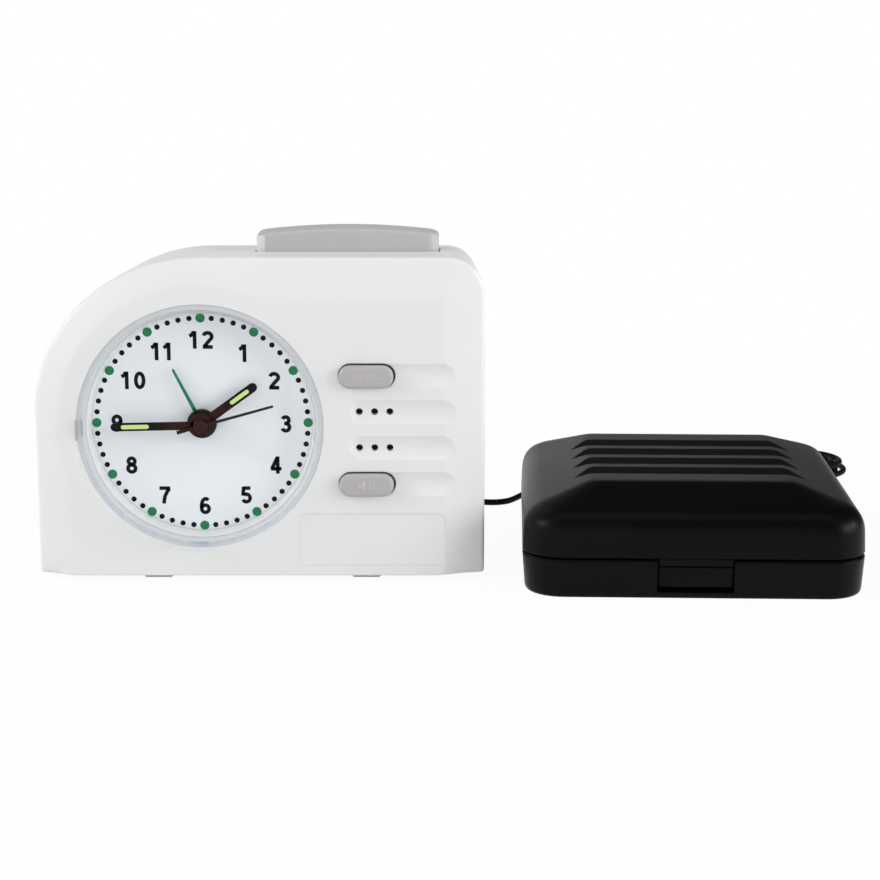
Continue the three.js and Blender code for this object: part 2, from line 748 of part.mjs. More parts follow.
const alarmWheel = join(
  pipe(alarmPipe, alarmFront, alarmLevel + wheelThickness),
  bored(wheel(alarmWheelTeeth, alarmModule, -quarter, alarmLevel, alarmLevel + wheelThickness), alarmPipe.inner),
);
addPiece(dialGroup, 'alarm_wheel', alarmWheel, gearPlastic);
const hourWheel = join(
  pipe(hourPipe, hourFront, hourLevel + wheelThickness),
  bored(wheel(hourWheelTeeth, hourModule, 0, hourLevel, hourLevel + wheelThickness), hourPipe.inner),
);
addPiece(dialGroup, 'hour_wheel', hourWheel, gearPlastic);
const cannonPinion = join(
  pipe(minutePipe, minuteFront, cannonBack),
  bored(wheel(cannonTeeth, motionModule, 0, motionLevel, motionLevel + 2 * wheelThickness), minutePipe.inner),
);
addPiece(dialGroup, 'cannon_pinion', cannonPinion, brass);
const secondArbor = rodY(0, 0, arborRadius, secondFront + seat, motorLevel + stepMotorDepth / 2, 12);
addPiece(dialGroup, 'second_arbor', secondArbor, steel);

// The time stem carries the motion wheel, the alarm stem a pinion, and each a knob behind the case.
function stem(front) {
  return rodY(0, 0, stemRadius, front, stemEnd, 12);
}

const timeGroup = new THREE.Group();
timeGroup.position.set(timeStem[0], 0, timeStem[1]);
const alarmGroup = new THREE.Group();
alarmGroup.position.set(alarmStem[0], 0, alarmStem[1]);
clock.add(timeGroup, alarmGroup);
const motionPhase = Math.PI + Math.PI / motionWheelTeeth;
const pinionPhase = Math.PI + Math.PI / motionPinionTeeth;
const motionWheel = join(
  stem(hourLevel - seat),
  wheel(motionPinionTeeth, hourModule, pinionPhase, hourLevel - seat, motionLevel),
  wheel(motionWheelTeeth, motionModule, motionPhase, motionLevel, motionLevel + wheelThickness),
);
addPiece(timeGroup, 'motion_wheel', motionWheel, gearPlastic);
const alarmPhase = quarter + Math.PI / alarmPinionTeeth;
const alarmPinion = join(
  stem(alarmLevel),
  wheel(alarmPinionTeeth, alarmModule, alarmPhase, alarmLevel, alarmLevel + wheelThickness),
);
addPiece(alarmGroup, 'alarm_stem', alarmPinion, gearPlastic);

function makeKnob() {
  const points = [];
  const steps = knobFlutes * 4;
  for (let i = 0; i < steps; i += 1) {
    const angle = (i / steps) * 2 * Math.PI;
    const radius = knobRadius - (i % 4 < 2 ? 0 : 0.5);
    points.push(new THREE.Vector2(radius * Math.cos(angle), radius * Math.sin(angle)));
  }
  const knob = plateY(new THREE.Shape(points), knobFront, knobFront + knobThickness);
  return cut(knob, rodY(0, 0, stemRadius + turn, knobFront - 1, stemEnd + seat, pipeSides));
}
addPiece(timeGroup, 'time_knob', makeKnob(), greyPlastic);
addPiece(alarmGroup, 'alarm_knob', makeKnob(), greyPlastic);

// Step motor: a stator block round the second arbor, with its coil above
const statorRight = motionDistance - stemRadius - 2 * seat - 1;
const statorBack = motorLevel + stepMotorDepth;
const statorTop = halfSide - movementWall - seat - 2 * coilRadius - 2 * seat;
const stator = cut(
  block(statorRight - stepMotorSide, statorRight, motorLevel, statorBack, statorTop - stepMotorSide, statorTop),
  rodY(0, 0, arborRadius + turn, motorLevel - 1, motorLevel + stepMotorDepth / 2 + seat, 12),
);
addPiece(dialGroup, 'step_motor', stator, steel);
const coilX = statorRight - stepMotorSide / 2;
const coil = rodX(
  motorLevel + stepMotorDepth / 2, statorTop + seat + coilRadius, coilRadius,
  coilX - coilLength / 2, coilX + coilLength / 2, 14,
);
addPiece(dialGroup, 'motor_coil', coil, copper);

// Front controls: two push-buttons, their board and switches, and the sounder behind the holes
for (const [name, row] of Object.entries(buttonRows)) {
  const z = grooveZ(row);
  const capBack = frontWall + seat;
  const stemFront = capBack + buttonFlange;
  const flangeWidth = buttonWidth + 2 * buttonFlange;
  const flangeHeight = buttonHeight + 2 * buttonFlange;
  const button = join(
    plateY(pill(buttonWidth, buttonHeight, buttonX, z), -buttonProud, capBack, 4),
    plateY(pill(flangeWidth, flangeHeight, buttonX, z), capBack, stemFront),
    rodY(buttonX, z, switchSize / 2 - 1, stemFront, stemFront + buttonStem, 10),
  );
  addPiece(clock, name, button, greyPlastic);
  const switchBody = block(
    buttonX - switchSize / 2, buttonX + switchSize / 2,
    boardFront - switchSize / 2, boardFront,
    z - switchSize / 2, z + switchSize / 2,
  );
  addPiece(clock, `${name}_switch`, switchBody, blackPlastic);
}
const board = block(
  boardX - boardWidth / 2, boardX + boardWidth / 2,
  boardFront, boardFront + boardThickness,
  speakerZ - boardHeight / 2, speakerZ + boardHeight / 2,
);
addPiece(clock, 'control_board', board, boardGreen);
const speakerFront = frontWall + seat;
const speakerBack = speakerFront + speakerDepth;
const speaker = turnedY([
  [0, speakerFront + 1],
  [speakerRadius - 1, speakerFront + 1],
  [speakerRadius - 1, speakerFront],
  [speakerRadius, speakerFront],
  [speakerRadius, speakerFront + speakerDepth / 2],
  [speakerRadius / 2, speakerFront + speakerDepth / 2],
  [speakerRadius / 2, speakerBack],
  [0, speakerBack],
], 24);
addPiece(clock, 'sounder', moved(speaker, buttonX + holePitch / 2, 0, speakerZ), blackPlastic);

// Snooze bar: a crowned bar in a slot of the top, over its own small board and switch
function makeSnoozeBar() {
  const left = snoozeMiddle - snoozeWidth / 2;
  const right = snoozeMiddle + snoozeWidth / 2;
  const shoulder = snoozeTop - snoozeCrown;
  const shape = new THREE.Shape();
  shape.moveTo(left, snoozeFlangeTop);
  shape.lineTo(right, snoozeFlangeTop);
  shape.lineTo(right, shoulder - snoozeCorner);
  shape.absarc(right - snoozeCorner, shoulder - snoozeCorner, snoozeCorner, 0, quarter);
  shape.quadraticCurveTo(snoozeMiddle, snoozeTop + snoozeCrown, left + snoozeCorner, shoulder);
  shape.absarc(left + snoozeCorner, shoulder - snoozeCorner, snoozeCorner, quarter, 2 * quarter);
  const flange = block(
    left - buttonFlange, right + buttonFlange,
    snoozeFront - buttonFlange, snoozeBack + buttonFlange,
    snoozeFlangeTop - snoozeFlange, snoozeFlangeTop,
  );
  return join(plateY(shape, snoozeFront, snoozeBack, 6), flange);
}
addPiece(clock, 'snooze_bar', makeSnoozeBar(), greyPlastic);
const snoozeBoard = block(
  snoozePostX[0] - boardPostRadius, snoozePostX[1] + boardPostRadius,
  snoozeMiddleY - switchSize, snoozeMiddleY + switchSize,
  snoozeBoardZ - boardThickness, snoozeBoardZ,
);
addPiece(clock, 'snooze_board', snoozeBoard, boardGreen);
const snoozeSwitch = block(
  snoozeMiddle - switchSize / 2, snoozeMiddle + switchSize / 2,
  snoozeMiddleY - switchSize / 2, snoozeMiddleY + switchSize / 2,
  snoozeBoardZ, snoozeBoardZ + switchSize / 2,
);
addPiece(clock, 'snooze_switch', snoozeSwitch, blackPlastic);

// Battery bay: two cells, contacts at their ends, and a door that swings on its lower edge
const cellY = caseDepth - doorThickness - bayDepth / 2;
[-1, 1].forEach((side, i) => {
  const x = bayX + (side * cellPitch) / 2;
  const nubLength = 1.2;
  const cell = join(
    rodZ(x, cellY, cellRadius, cellBottom, cellTop - nubLength, 24),
    rodZ(x, cellY, cellNubRadius, cellTop - nubLength, cellTop, 12),
  );
  addPiece(clock, `battery_${i + 1}`, cell, cellSleeve);
});
const contactHalf = bayHalf - seat;
const contacts = { contact_lower: bayBottom + seat, contact_upper: cellTop + seat };
for (const [name, z] of Object.entries(contacts)) {
  const plate = block(
    bayX - contactHalf, bayX + contactHalf, bayFront + seat, caseDepth - doorThickness - seat,
    z, z + contactThickness,
  );
  addPiece(clock, name, plate, steel);
}
const doorHalf = bayHalf - seat;
const gripRidges = [0, 1, 2].map((i) => block(
  bayX - doorHalf / 3, bayX + doorHalf / 3, caseDepth - 1, caseDepth + 0.6,
  bayTop - 6 - i * 2.4, bayTop - 5 - i * 2.4,
));
const doorPlate = block(
  bayX - doorHalf, bayX + doorHalf, caseDepth - doorThickness, caseDepth,
  bayBottom + seat, bayTop - seat,
);
addPiece(clock, 'battery_door', join(doorPlate, ...gripRidges), whitePlastic);

// Jack in the rear cover
const jackBack = caseDepth - caseWall - seat;
const jackNose = plugTipRadius + seat + 1;
const jackBore = plugTipRadius + seat;
const jack = cut(
  join(
    block(
      jackX - jackSide / 2, jackX + jackSide / 2, jackBack - jackDepth, jackBack,
      jackHeight - jackSide / 2, jackHeight + jackSide / 2,
    ),
    rodY(jackX, jackHeight, jackNose, jackBack, caseDepth, 16),
  ),
  rodY(jackX, jackHeight, jackBore, jackBack - jackDepth + 1, caseDepth + 1, 16),
);
addPiece(clock, 'jack_socket', jack, blackPlastic);

// Vibrator box. A level of its outline, drawn in from the box's sides and rounded at the corners.
function boxRing(z, side, front = side, rear = side, radius = boxCorner - side) {
  const ring = [];
  const corners = [
    [1, 1, 0], [-1, 1, 1], [-1, -1, 2], [1, -1, 3],
  ];
  for (const [right, back, turns] of corners) {
    const x = right * (boxWidth / 2 - side - radius);
    const y = back > 0 ? boxDepth - rear - radius : front + radius;
    for (const [px, py] of arcPoints(x, y, radius, radius, turns * quarter, (turns + 1) * quarter, 6)) {
      ring.push(new THREE.Vector3(px, py, z));
    }
  }
  return ring;
}

const hingeY = boxDepth + hingeOffset;
const hingeZ = baseHeight + lidGap / 2;
const lidFloor = baseHeight + lidGap;
const lidKnuckle = [knuckleInner, knuckleInner + knuckleWidth];
const baseKnuckle = [lidKnuckle[1] + slide, lidKnuckle[1] + slide + knuckleWidth];
const knuckleBore = hingePinRadius + turn;

// Knuckles on both sides of the middle, each an arm from the rear wall to a barrel round the pin.
function knuckles([inner, outer], armFrom, armTo) {
  return [-1, 1].map((side) => {
    const [x0, x1] = side > 0 ? [inner, outer] : [-outer, -inner];
    return join(
      rodX(hingeY, hingeZ, knuckleRadius, x0, x1, 16),
      block(x0, x1, boxDepth - boxWall / 2, hingeY, armFrom, armTo),
    );
  });
}
const pinBore = rodX(hingeY, hingeZ, knuckleBore, -baseKnuckle[1] - 1, baseKnuckle[1] + 1, 16);

const motorEnd = motorX + motorLength / 2;
const cradleX = [motorX - motorLength / 2 + cradleWidth, motorEnd - 2 * cradleWidth];
const clampReach = motorRadius + seat + clampThickness;
const clampZ = boxWall + seat;
const latchHalf = latchWidth / 2;
const lugX = latchBarrelLength / 2 + seat;

function makeVibratorBase() {
  const shell = cut(
    hull(boxRing(0, baseChamfer), boxRing(baseChamfer, 0), boxRing(baseHeight, 0)),
    hull(boxRing(boxWall, boxWall), boxRing(baseHeight + 1, boxWall)),
  );
  const pocket = block(
    -latchHalf - slide - boxWall, latchHalf + slide + boxWall,
    boxWall / 2, recessDepth + boxWall, boxWall / 2, baseHeight,
  );
  const cradles = cradleX.map((x) => cut(
    block(x, x + cradleWidth, motorY - motorRadius, motorY + motorRadius, boxWall / 2, motorAxisZ - 1),
    rodX(motorY, motorAxisZ, motorRadius + seat, x - 1, x + cradleWidth + 1, 28),
  ));
  const cuts = [
    block(-latchHalf - slide, latchHalf + slide, -1, recessDepth, recessSill, baseHeight + 1),
    pinBore,
    rodY(grommetX, grommetZ, grommetRadius + seat, boxDepth - boxWall - 1, boxDepth + 1, 16),
  ];
  return cut(
    join(shell, pocket, ...cradles, ...knuckles(baseKnuckle, baseHeight / 2, baseHeight - seat)),
    ...cuts,
  );
}
addPiece(box, 'vibrator_base', makeVibratorBase(), blackPlastic);

function makeVibratorLid() {
  const roofInner = roofZ - boxWall - ribGrooveDepth;
  const roofRing = (z, wall) => boxRing(z, roofSide + wall, roofFront + wall, roofRear + wall, roofCorner);
  const shell = cut(
    hull(
      boxRing(lidFloor, 0),
      boxRing(shoulderZ, shoulderInset),
      roofRing(roofZ, 0),
    ),
    hull(
      boxRing(lidFloor - 1, boxWall),
      boxRing(shoulderZ - boxWall, shoulderInset + boxWall),
      roofRing(roofInner, boxWall),
    ),
  );
  const lugs = [-1, 1].map((side) => {
    const [x0, x1] = side > 0 ? [lugX, lugX + latchLug] : [-lugX - latchLug, -lugX];
    const front = latchAxisY - latchBarrelRadius + seat;
    return block(x0, x1, front, latchAxisY + latchBarrelRadius, latchAxisZ - latchBarrelRadius, lidFloor + boxWall);
  });
  const bridge = block(
    -lugX - latchLug, lugX + latchLug,
    boxWall / 2, latchAxisY + latchBarrelRadius, lidFloor, lidFloor + boxWall,
  );
  const cuts = [pinBore, rodX(latchAxisY, latchAxisZ, latchPinRadius + turn, -latchHalf, latchHalf, 12)];
  for (let i = 0; i < ribGrooves; i += 1) {
    const y = firstRib + i * ribPitch;
    cuts.push(hull(...[-boxWidth, boxWidth].map((x) => [
      new THREE.Vector3(x, y, roofZ - ribGrooveDepth),
      new THREE.Vector3(x, y, roofZ + 1),
      new THREE.Vector3(x, y + ribGrooveWidth, roofZ + 1),
      new THREE.Vector3(x, y + ribGrooveWidth, roofZ),
    ])));
  }
  const hinges = knuckles(lidKnuckle, lidFloor + seat, lidFloor + 2 * knuckleRadius);
  return cut(join(shell, ...hinges, ...lugs, bridge), ...cuts);
}
addPiece(box, 'vibrator_lid', makeVibratorLid(), blackPlastic);
const hingePin = rodX(hingeY, hingeZ, hingePinRadius, -baseKnuckle[1], baseKnuckle[1], 16);
addPiece(box, 'lid_hinge_pin', hingePin, steel);

// Latch: a plate in the base's recess, on a barrel that turns on a pin between the lid's lugs
const latchFace = seat;
const latchBody = cut(
  join(
    block(-latchHalf, latchHalf, latchFace, latchFace + latchThickness, latchBottom, latchTop),
    rodX(latchAxisY, latchAxisZ, latchBarrelRadius, -latchBarrelLength / 2, latchBarrelLength / 2, 16),
    block(
      -latchBarrelLength / 2, latchBarrelLength / 2, latchFace + latchThickness / 2, latchAxisY,
      latchAxisZ - latchBarrelRadius, latchAxisZ,
    ),
  ),
  rodX(latchAxisY, latchAxisZ, latchPinRadius + turn, -latchHalf, latchHalf, 12),
);
addPiece(box, 'lid_latch', latchBody, blackPlastic);
const latchPin = rodX(latchAxisY, latchAxisZ, latchPinRadius, -lugX - latchLug, lugX + latchLug, 12);
addPiece(box, 'latch_pin', latchPin, steel);

// Motor in its cradles, under a strap that is screwed to the floor, and its eccentric weight
const shaftDepth = 6;
const motorBody = cut(
  rodX(motorY, motorAxisZ, motorRadius, motorX - motorLength / 2, motorEnd, 28),
  rodX(motorY, motorAxisZ, motorShaftRadius + turn, motorEnd - shaftDepth, motorEnd + 1, 12),
);
addPiece(box, 'vibrator_motor', motorBody, steel);
const strapX = motorX - clampWidth / 2;
const strapFeet = block(
  strapX, strapX + clampWidth, motorY - clampReach - clampFoot, motorY + clampReach + clampFoot,
  clampZ, clampZ + clampThickness,
);
const strapArch = join(
  rodX(motorY, motorAxisZ, clampReach, strapX, strapX + clampWidth, 28),
  block(strapX, strapX + clampWidth, motorY - clampReach, motorY + clampReach, clampZ, motorAxisZ),
);
const strapBore = join(
  rodX(motorY, motorAxisZ, motorRadius + seat, strapX - 1, strapX + clampWidth + 1, 28),
  block(
    strapX - 1, strapX + clampWidth + 1, motorY - motorRadius - seat, motorY + motorRadius + seat,
    0, motorAxisZ,
  ),
);
const strapScrewY = [-1, 1].map((side) => motorY + side * (clampReach + clampFoot / 2));
const strapHoles = strapScrewY.map((y) => rodZ(motorX, y, screwRadius + turn, 0, clampZ + clampThickness + 1, 10));
addPiece(box, 'motor_strap', cut(join(strapFeet, strapArch), strapBore, ...strapHoles), steel);
strapScrewY.forEach((y, i) => {
  const head = rodZ(
    motorX, y, screwHeadRadius, clampZ + clampThickness + seat, clampZ + clampThickness + seat + screwHeadDepth, 16,
  );
  const shank = rodZ(motorX, y, screwRadius, clampZ, clampZ + clampThickness + seat, 10);
  addPiece(box, `strap_screw_${i + 1}`, join(head, shank), steel);
});
const weightX = motorEnd + 3 * seat;
const halfDisc = new THREE.Shape();
halfDisc.absarc(0, 0, weightRadius, Math.PI, 2 * Math.PI);
const weightBlank = new THREE.ExtrudeGeometry(halfDisc, { depth: weightLength, bevelEnabled: false, curveSegments: 14 });
const toAlongX = new THREE.Matrix4().set(0, 0, 1, weightX, 1, 0, 0, motorY, 0, 1, 0, motorAxisZ, 0, 0, 0, 1);
const weight = join(
  solid(weightBlank.applyMatrix4(toAlongX)),
  rodX(motorY, motorAxisZ, weightHub, weightX, weightX + weightLength, 20),
  rodX(motorY, motorAxisZ, motorShaftRadius, motorEnd - shaftDepth + seat, weightX + weightLength, 12),
);
addPiece(box, 'eccentric_weight', weight, brass);

// Strain relief in the base's rear wall
const reliefNeck = cordRadius + 0.7;
const grommet = turnedY([
  [0, boxDepth - boxWall - 2 * seat - 1],
  [grommetRadius + 1, boxDepth - boxWall - 2 * seat - 1],
  [grommetRadius + 1, boxDepth - boxWall - seat],
  [grommetRadius, boxDepth - boxWall - seat],
  [grommetRadius, boxDepth + seat],
  [reliefNeck, boxDepth + grommetLength],
  [0, boxDepth + grommetLength],
], 20);
addPiece(box, 'cord_grommet', moved(grommet, grommetX, 0, grommetZ), blackRubber);

// Plug in the jack: a metal tip, and a moulded grip that tapers to the cord
const tip = rodY(jackX, jackHeight, plugTipRadius, caseDepth + seat - plugTipLength, caseDepth + 2 * seat, 14);
addPiece(cord, 'plug_tip', tip, steel);
const gripFront = caseDepth + 3 * seat;
const gripBack = gripFront + plugLength;
const reliefBack = gripBack + reliefLength;
const grip = turnedY([
  [0, gripFront],
  [plugRadius - 0.5, gripFront],
  [plugRadius, gripFront + 0.5],
  [plugRadius, gripBack - 2],
  [plugRadius - 1, gripBack],
  [reliefNeck, reliefBack],
  [0, reliefBack],
], 20);
addPiece(cord, 'cord_plug', moved(grip, jackX, 0, jackHeight), blackRubber);

// Hank: two layers of loops with long runs, spiralling in below and out again above, drawn in at the tie
const hankOuter = hankInner + hankLoops * hankStep;
const floorZ = cordRadius + 0.12;

function waist(x) {
  return Math.max(0, 1 - (2 * x / hankRun) ** 2);
}

// A place on the hank after a number of turns, counted from the left end of the near run.
function hankPlace(turns) {
  const radius = hankInner + Math.abs(turns - hankLoops) * hankStep;
  const share = turns - Math.floor(turns + 1e-9);
  const part = Math.floor(share * 4 + 1e-9);
  const along = share * 4 - part;
  const sweep = -quarter + along * 2 * quarter;
  let x = [hankRun * (along - 0.5), hankRun / 2, hankRun * (0.5 - along), -hankRun / 2][part];
  let y = [-radius, 0, radius, 0][part];
  if (part % 2 === 1) {
    const side = part === 1 ? 1 : -1;
    x += side * radius * Math.cos(sweep);
    y += side * radius * Math.sin(sweep);
  }
  y *= 1 - hankWaist * waist(x);
  const climb = THREE.MathUtils.smoothstep(turns, hankLoops - 0.125, hankLoops + 0.125) * hankLayer;
  const z = floorZ + climb + (tieThickness + tieGap) * waist(x);
  return new THREE.Vector3(hankX + x, hankY + y, z);
}

// A tube along points that stay near level, with flat ends, its sections upright.
function tube(points, radius, sides) {
  const up = new THREE.Vector3(0, 0, 1);
  const places = [];
  const corners = [];
  points.forEach((point, i) => {
    const ahead = points[Math.min(i + 1, points.length - 1)];
    const behind = points[Math.max(i - 1, 0)];
    const along = ahead.clone().sub(behind).normalize();
    const across = along.clone().cross(up).normalize();
    const over = across.clone().cross(along);
    for (let k = 0; k < sides; k += 1) {
      const angle = ((k + 0.5) / sides) * 2 * Math.PI;
      const place = point.clone()
        .addScaledVector(across, radius * Math.cos(angle))
        .addScaledVector(over, radius * Math.sin(angle));
      places.push(place.x, place.y, place.z);
    }
  });
  const last = (points.length - 1) * sides;
  for (let i = 0; i < points.length - 1; i += 1) {
    for (let k = 0; k < sides; k += 1) {
      const next = (k + 1) % sides;
      const [a, b] = [i * sides + k, i * sides + next];
      corners.push(a, b, a + sides, b, b + sides, a + sides);
    }
  }
  for (let k = 1; k < sides - 1; k += 1) {
    corners.push(0, k + 1, k, last, last + k, last + k + 1);
  }
  const geometry = new THREE.BufferGeometry();
  geometry.setAttribute('position', new THREE.Float32BufferAttribute(places, 3));
  geometry.setIndex(corners);
  return solid(geometry);
}

const hankPoints = [];
for (let i = 0; i <= 2 * hankLoops * hankStepsPerLoop; i += 1) {
  hankPoints.push(hankPlace(i / hankStepsPerLoop));
}
addPiece(cord, 'cord_hank', tube(hankPoints, cordRadius, hankSides), blackRubber);

// The least gap of the hank's cord to itself, between places that are more than a fold apart along it.
function leastGap(points, apart) {
  let least = Infinity;
  for (let i = 0; i < points.length; i += 1) {
    for (let j = i + apart; j < points.length; j += 1) {
      const segment = new THREE.Line3(points[j], points[Math.min(j + 1, points.length - 1)]);
      const near = segment.closestPointToPoint(points[i], true, new THREE.Vector3());
      least = Math.min(least, near.distanceTo(points[i]));
    }
  }
  return least - 2 * cordRadius;
}
console.log(`cord_hank: least gap to itself ${leastGap(hankPoints, hankStepsPerLoop / 2).toFixed(2)} mm`);

// Tie round the hank's waist
const tieHalf = hankOuter * (1 - hankWaist) + cordRadius + tieGap;
const tieLow = 0.05;
const tieHigh = floorZ + hankLayer + tieThickness + tieGap + cordRadius + tieGap;
const tieBand = cut(
  block(
    hankX - tieWidth / 2, hankX + tieWidth / 2,
    hankY - tieHalf - tieThickness, hankY + tieHalf + tieThickness, tieLow, tieHigh + tieThickness,
  ),
  block(
    hankX - tieWidth, hankX + tieWidth, hankY - tieHalf, hankY + tieHalf, tieLow + tieThickness, tieHigh,
  ),
);
addPiece(cord, 'cord_tie', tieBand, blackRubber);

// Free stretches of the cord, through points chosen by hand on the table and up to the sockets.
function freeCord(points, steps) {
  const route = new THREE.CatmullRomCurve3(points.map(([x, y, z]) => new THREE.Vector3(x, y, z)), false, 'centripetal');
  const section = new THREE.Shape();
  for (let k = 0; k < cordSides; k += 1) {
    const angle = ((k + 0.5) / cordSides) * 2 * Math.PI;
    const corner = [cordRadius * Math.cos(angle), cordRadius * Math.sin(angle)];
    if (k === 0) section.moveTo(...corner);
    else section.lineTo(...corner);
  }
  return solid(new THREE.ExtrudeGeometry(section, { steps, extrudePath: route }));
}

const hankStart = hankPoints[0];
const clockCord = freeCord([
  [jackX, reliefBack + seat, jackHeight],
  [jackX, reliefBack + 4, jackHeight - 0.2],
  [jackX + 0.6, reliefBack + 9, jackHeight - 1.8],
  [jackX + 3.2, reliefBack + 15, jackHeight - 4.6],
  [44, 97.2, 2],
  [51, 99.2, floorZ],
  [58, 98, floorZ],
  [64, 95.4, floorZ],
  [69.5, 93.8, floorZ],
  [74.2, 95.4, floorZ],
  [77.4, 99.8, floorZ],
  [80.2, 105.2, floorZ],
  [84.6, 110.6, floorZ],
  [92, 114.6, floorZ],
  [102, 116.8, floorZ],
  [113, 119.4, floorZ],
  [124, 123.2, floorZ],
  [133.4, 127.2, floorZ],
  [hankStart.x - 4, hankStart.y, floorZ],
  [hankStart.x - seat, hankStart.y, floorZ],
], 38);
addPiece(cord, 'cord_to_clock', clockCord, blackRubber);

// Where the grommet ends, carried over from the box's frame.
box.updateMatrix();
const gland = (behind) => new THREE.Vector3(grommetX, boxDepth + grommetLength + behind, grommetZ).applyMatrix4(box.matrix);
const glandEnd = gland(seat);
const glandAhead = gland(5);
const hankEnd = hankPoints[hankPoints.length - 1];
const boxCord = freeCord([
  [hankEnd.x + seat, hankEnd.y, hankEnd.z],
  [hankEnd.x + 2.5, hankEnd.y, hankEnd.z],
  [hankEnd.x + 6, hankEnd.y - 2, hankEnd.z - 0.6],
  [hankEnd.x + 7.2, hankEnd.y - 6.5, floorZ + 0.8],
  [hankEnd.x + 5, hankEnd.y - 12, floorZ],
  [hankEnd.x - 1, hankEnd.y - 17, floorZ],
  [hankEnd.x - 9, hankEnd.y - 20.5, floorZ + 0.4],
  [glandAhead.x + 1.6, glandAhead.y + 5, glandAhead.z - 2],
  glandAhead.toArray(),
  glandEnd.toArray(),
], 26);
addPiece(cord, 'cord_to_box', boxCord, blackRubber);

// The object's frame: on the table, under the middle of the clock and the box.
const footprint = new THREE.Box3().setFromObject(standing);
const middle = footprint.getCenter(new THREE.Vector3());
object.position.set(-middle.x, -middle.y, -footprint.min.z);

export default object;
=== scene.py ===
# %% [markdown]
# A bedside clock for heavy sleepers, dressed for a picture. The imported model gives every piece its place,
# so this script only has to make the surfaces finer: it loads that frame, builds smooth skins for the
# pieces that show, gives every piece a finish, and sets the light and the camera. Lengths in the cells
# below are in millimetres, in the clock's own frame: x to the right of its middle, y back from its flat
# front panel, z up from the table. The box beside it has a frame of its own, at the middle of its front
# and turned a little.

# %% Load the frame
import math

import bmesh
import bpy
from mathutils import Matrix, Vector


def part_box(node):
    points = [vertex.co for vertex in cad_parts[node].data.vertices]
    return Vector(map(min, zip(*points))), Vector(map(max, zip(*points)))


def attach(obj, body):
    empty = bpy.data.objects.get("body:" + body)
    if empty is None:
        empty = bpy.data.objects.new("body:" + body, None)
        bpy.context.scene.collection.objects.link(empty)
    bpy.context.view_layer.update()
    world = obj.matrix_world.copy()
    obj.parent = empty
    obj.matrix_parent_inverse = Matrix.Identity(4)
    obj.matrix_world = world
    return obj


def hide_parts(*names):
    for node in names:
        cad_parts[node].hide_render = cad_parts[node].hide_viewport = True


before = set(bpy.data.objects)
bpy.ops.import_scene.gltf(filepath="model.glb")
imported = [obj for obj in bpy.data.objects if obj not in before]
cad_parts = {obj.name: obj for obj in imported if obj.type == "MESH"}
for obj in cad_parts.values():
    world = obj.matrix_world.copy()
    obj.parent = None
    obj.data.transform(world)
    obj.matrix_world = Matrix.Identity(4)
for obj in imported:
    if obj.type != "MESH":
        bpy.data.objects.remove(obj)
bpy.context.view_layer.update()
scene = bpy.context.scene
MM = 0.001
ROOT = "clock_and_box"
DIAL_X, DIAL_Z = -17.0, 45.8
BOX_SPOT, BOX_TURN = Vector((124.3, -19.3, 0)), -1.9

case_low, case_high = (Vector(corner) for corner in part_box("front_case"))
clock_zero = Vector(((case_low.x + case_high.x) / 2, case_low.y, 0))
CLOCK = Matrix.Translation(clock_zero) @ Matrix.Scale(MM, 4)
box_zero = Matrix.Translation(clock_zero + BOX_SPOT * MM)
BOX = box_zero @ Matrix.Rotation(math.radians(BOX_TURN), 4, "Z") @ Matrix.Scale(MM, 4)
print("clock zero", [round(value, 5) for value in clock_zero])

# %% [markdown]
# The camera comes first, because it decides what the viewer sees of the cord. It stands a little right of
# the clock's middle and looks down by about twelve degrees through a long lens, as for a catalogue
# picture. It is only tilted, not shifted, so the upright edges keep the slight lean that a real lens
# gives them.

# %% Camera
LENS, CAMERA_SPOT, CAMERA_TILT = 87.62, (52.01, -602.95, 168.73), 78.14
camera_data = bpy.data.cameras.new("product_camera")
camera_data.sensor_fit = "HORIZONTAL"
camera_data.sensor_width = 36
camera_data.lens = LENS
camera_data.clip_start = 0.01
camera = bpy.data.objects.new("product_camera", camera_data)
camera.location = CLOCK @ Vector(CAMERA_SPOT)
camera.rotation_euler = (math.radians(CAMERA_TILT), 0, 0)
scene.collection.objects.link(camera)
scene.camera = camera
print("camera at", [round(value, 3) for value in camera.location])

# %% [markdown]
# Finishes are node trees, and node trees are easier to read as formulas. The class below wraps one
# socket, so that Python's own operators add the Math nodes. The same nodes could be placed by hand in the
# editor, but a formula says at a glance what a finish does.

# %% Sockets that can be reckoned with
class Value:
    """An output socket of a node tree, for use in formulas."""

    def __init__(self, tree, socket):
        self.tree = tree
        self.socket = socket

    def math(self, operation, first, second):
        return self.tree.node("ShaderNodeMath", {"operation": operation}, {0: first, 1: second})

    def __add__(self, other):
        return self.math("ADD", self, other)

    def __sub__(self, other):
        return self.math("SUBTRACT", self, other)

    def __rsub__(self, other):
        return self.math("SUBTRACT", other, self)

    def __mul__(self, other):
        return self.math("MULTIPLY", self, other)

    def __gt__(self, other):
        return self.math("GREATER_THAN", self, other)

    __radd__ = __add__
    __rmul__ = __mul__


# %% [markdown]
# A tree needs one method that makes any node from its type, its settings and its sockets. The other
# methods are short names for what comes up again and again: a place on the piece, noise of a given size,
# a soft ramp, a mix of two colours. Places are read in object coordinates, so a pattern keeps its scale
# and stays on its piece.

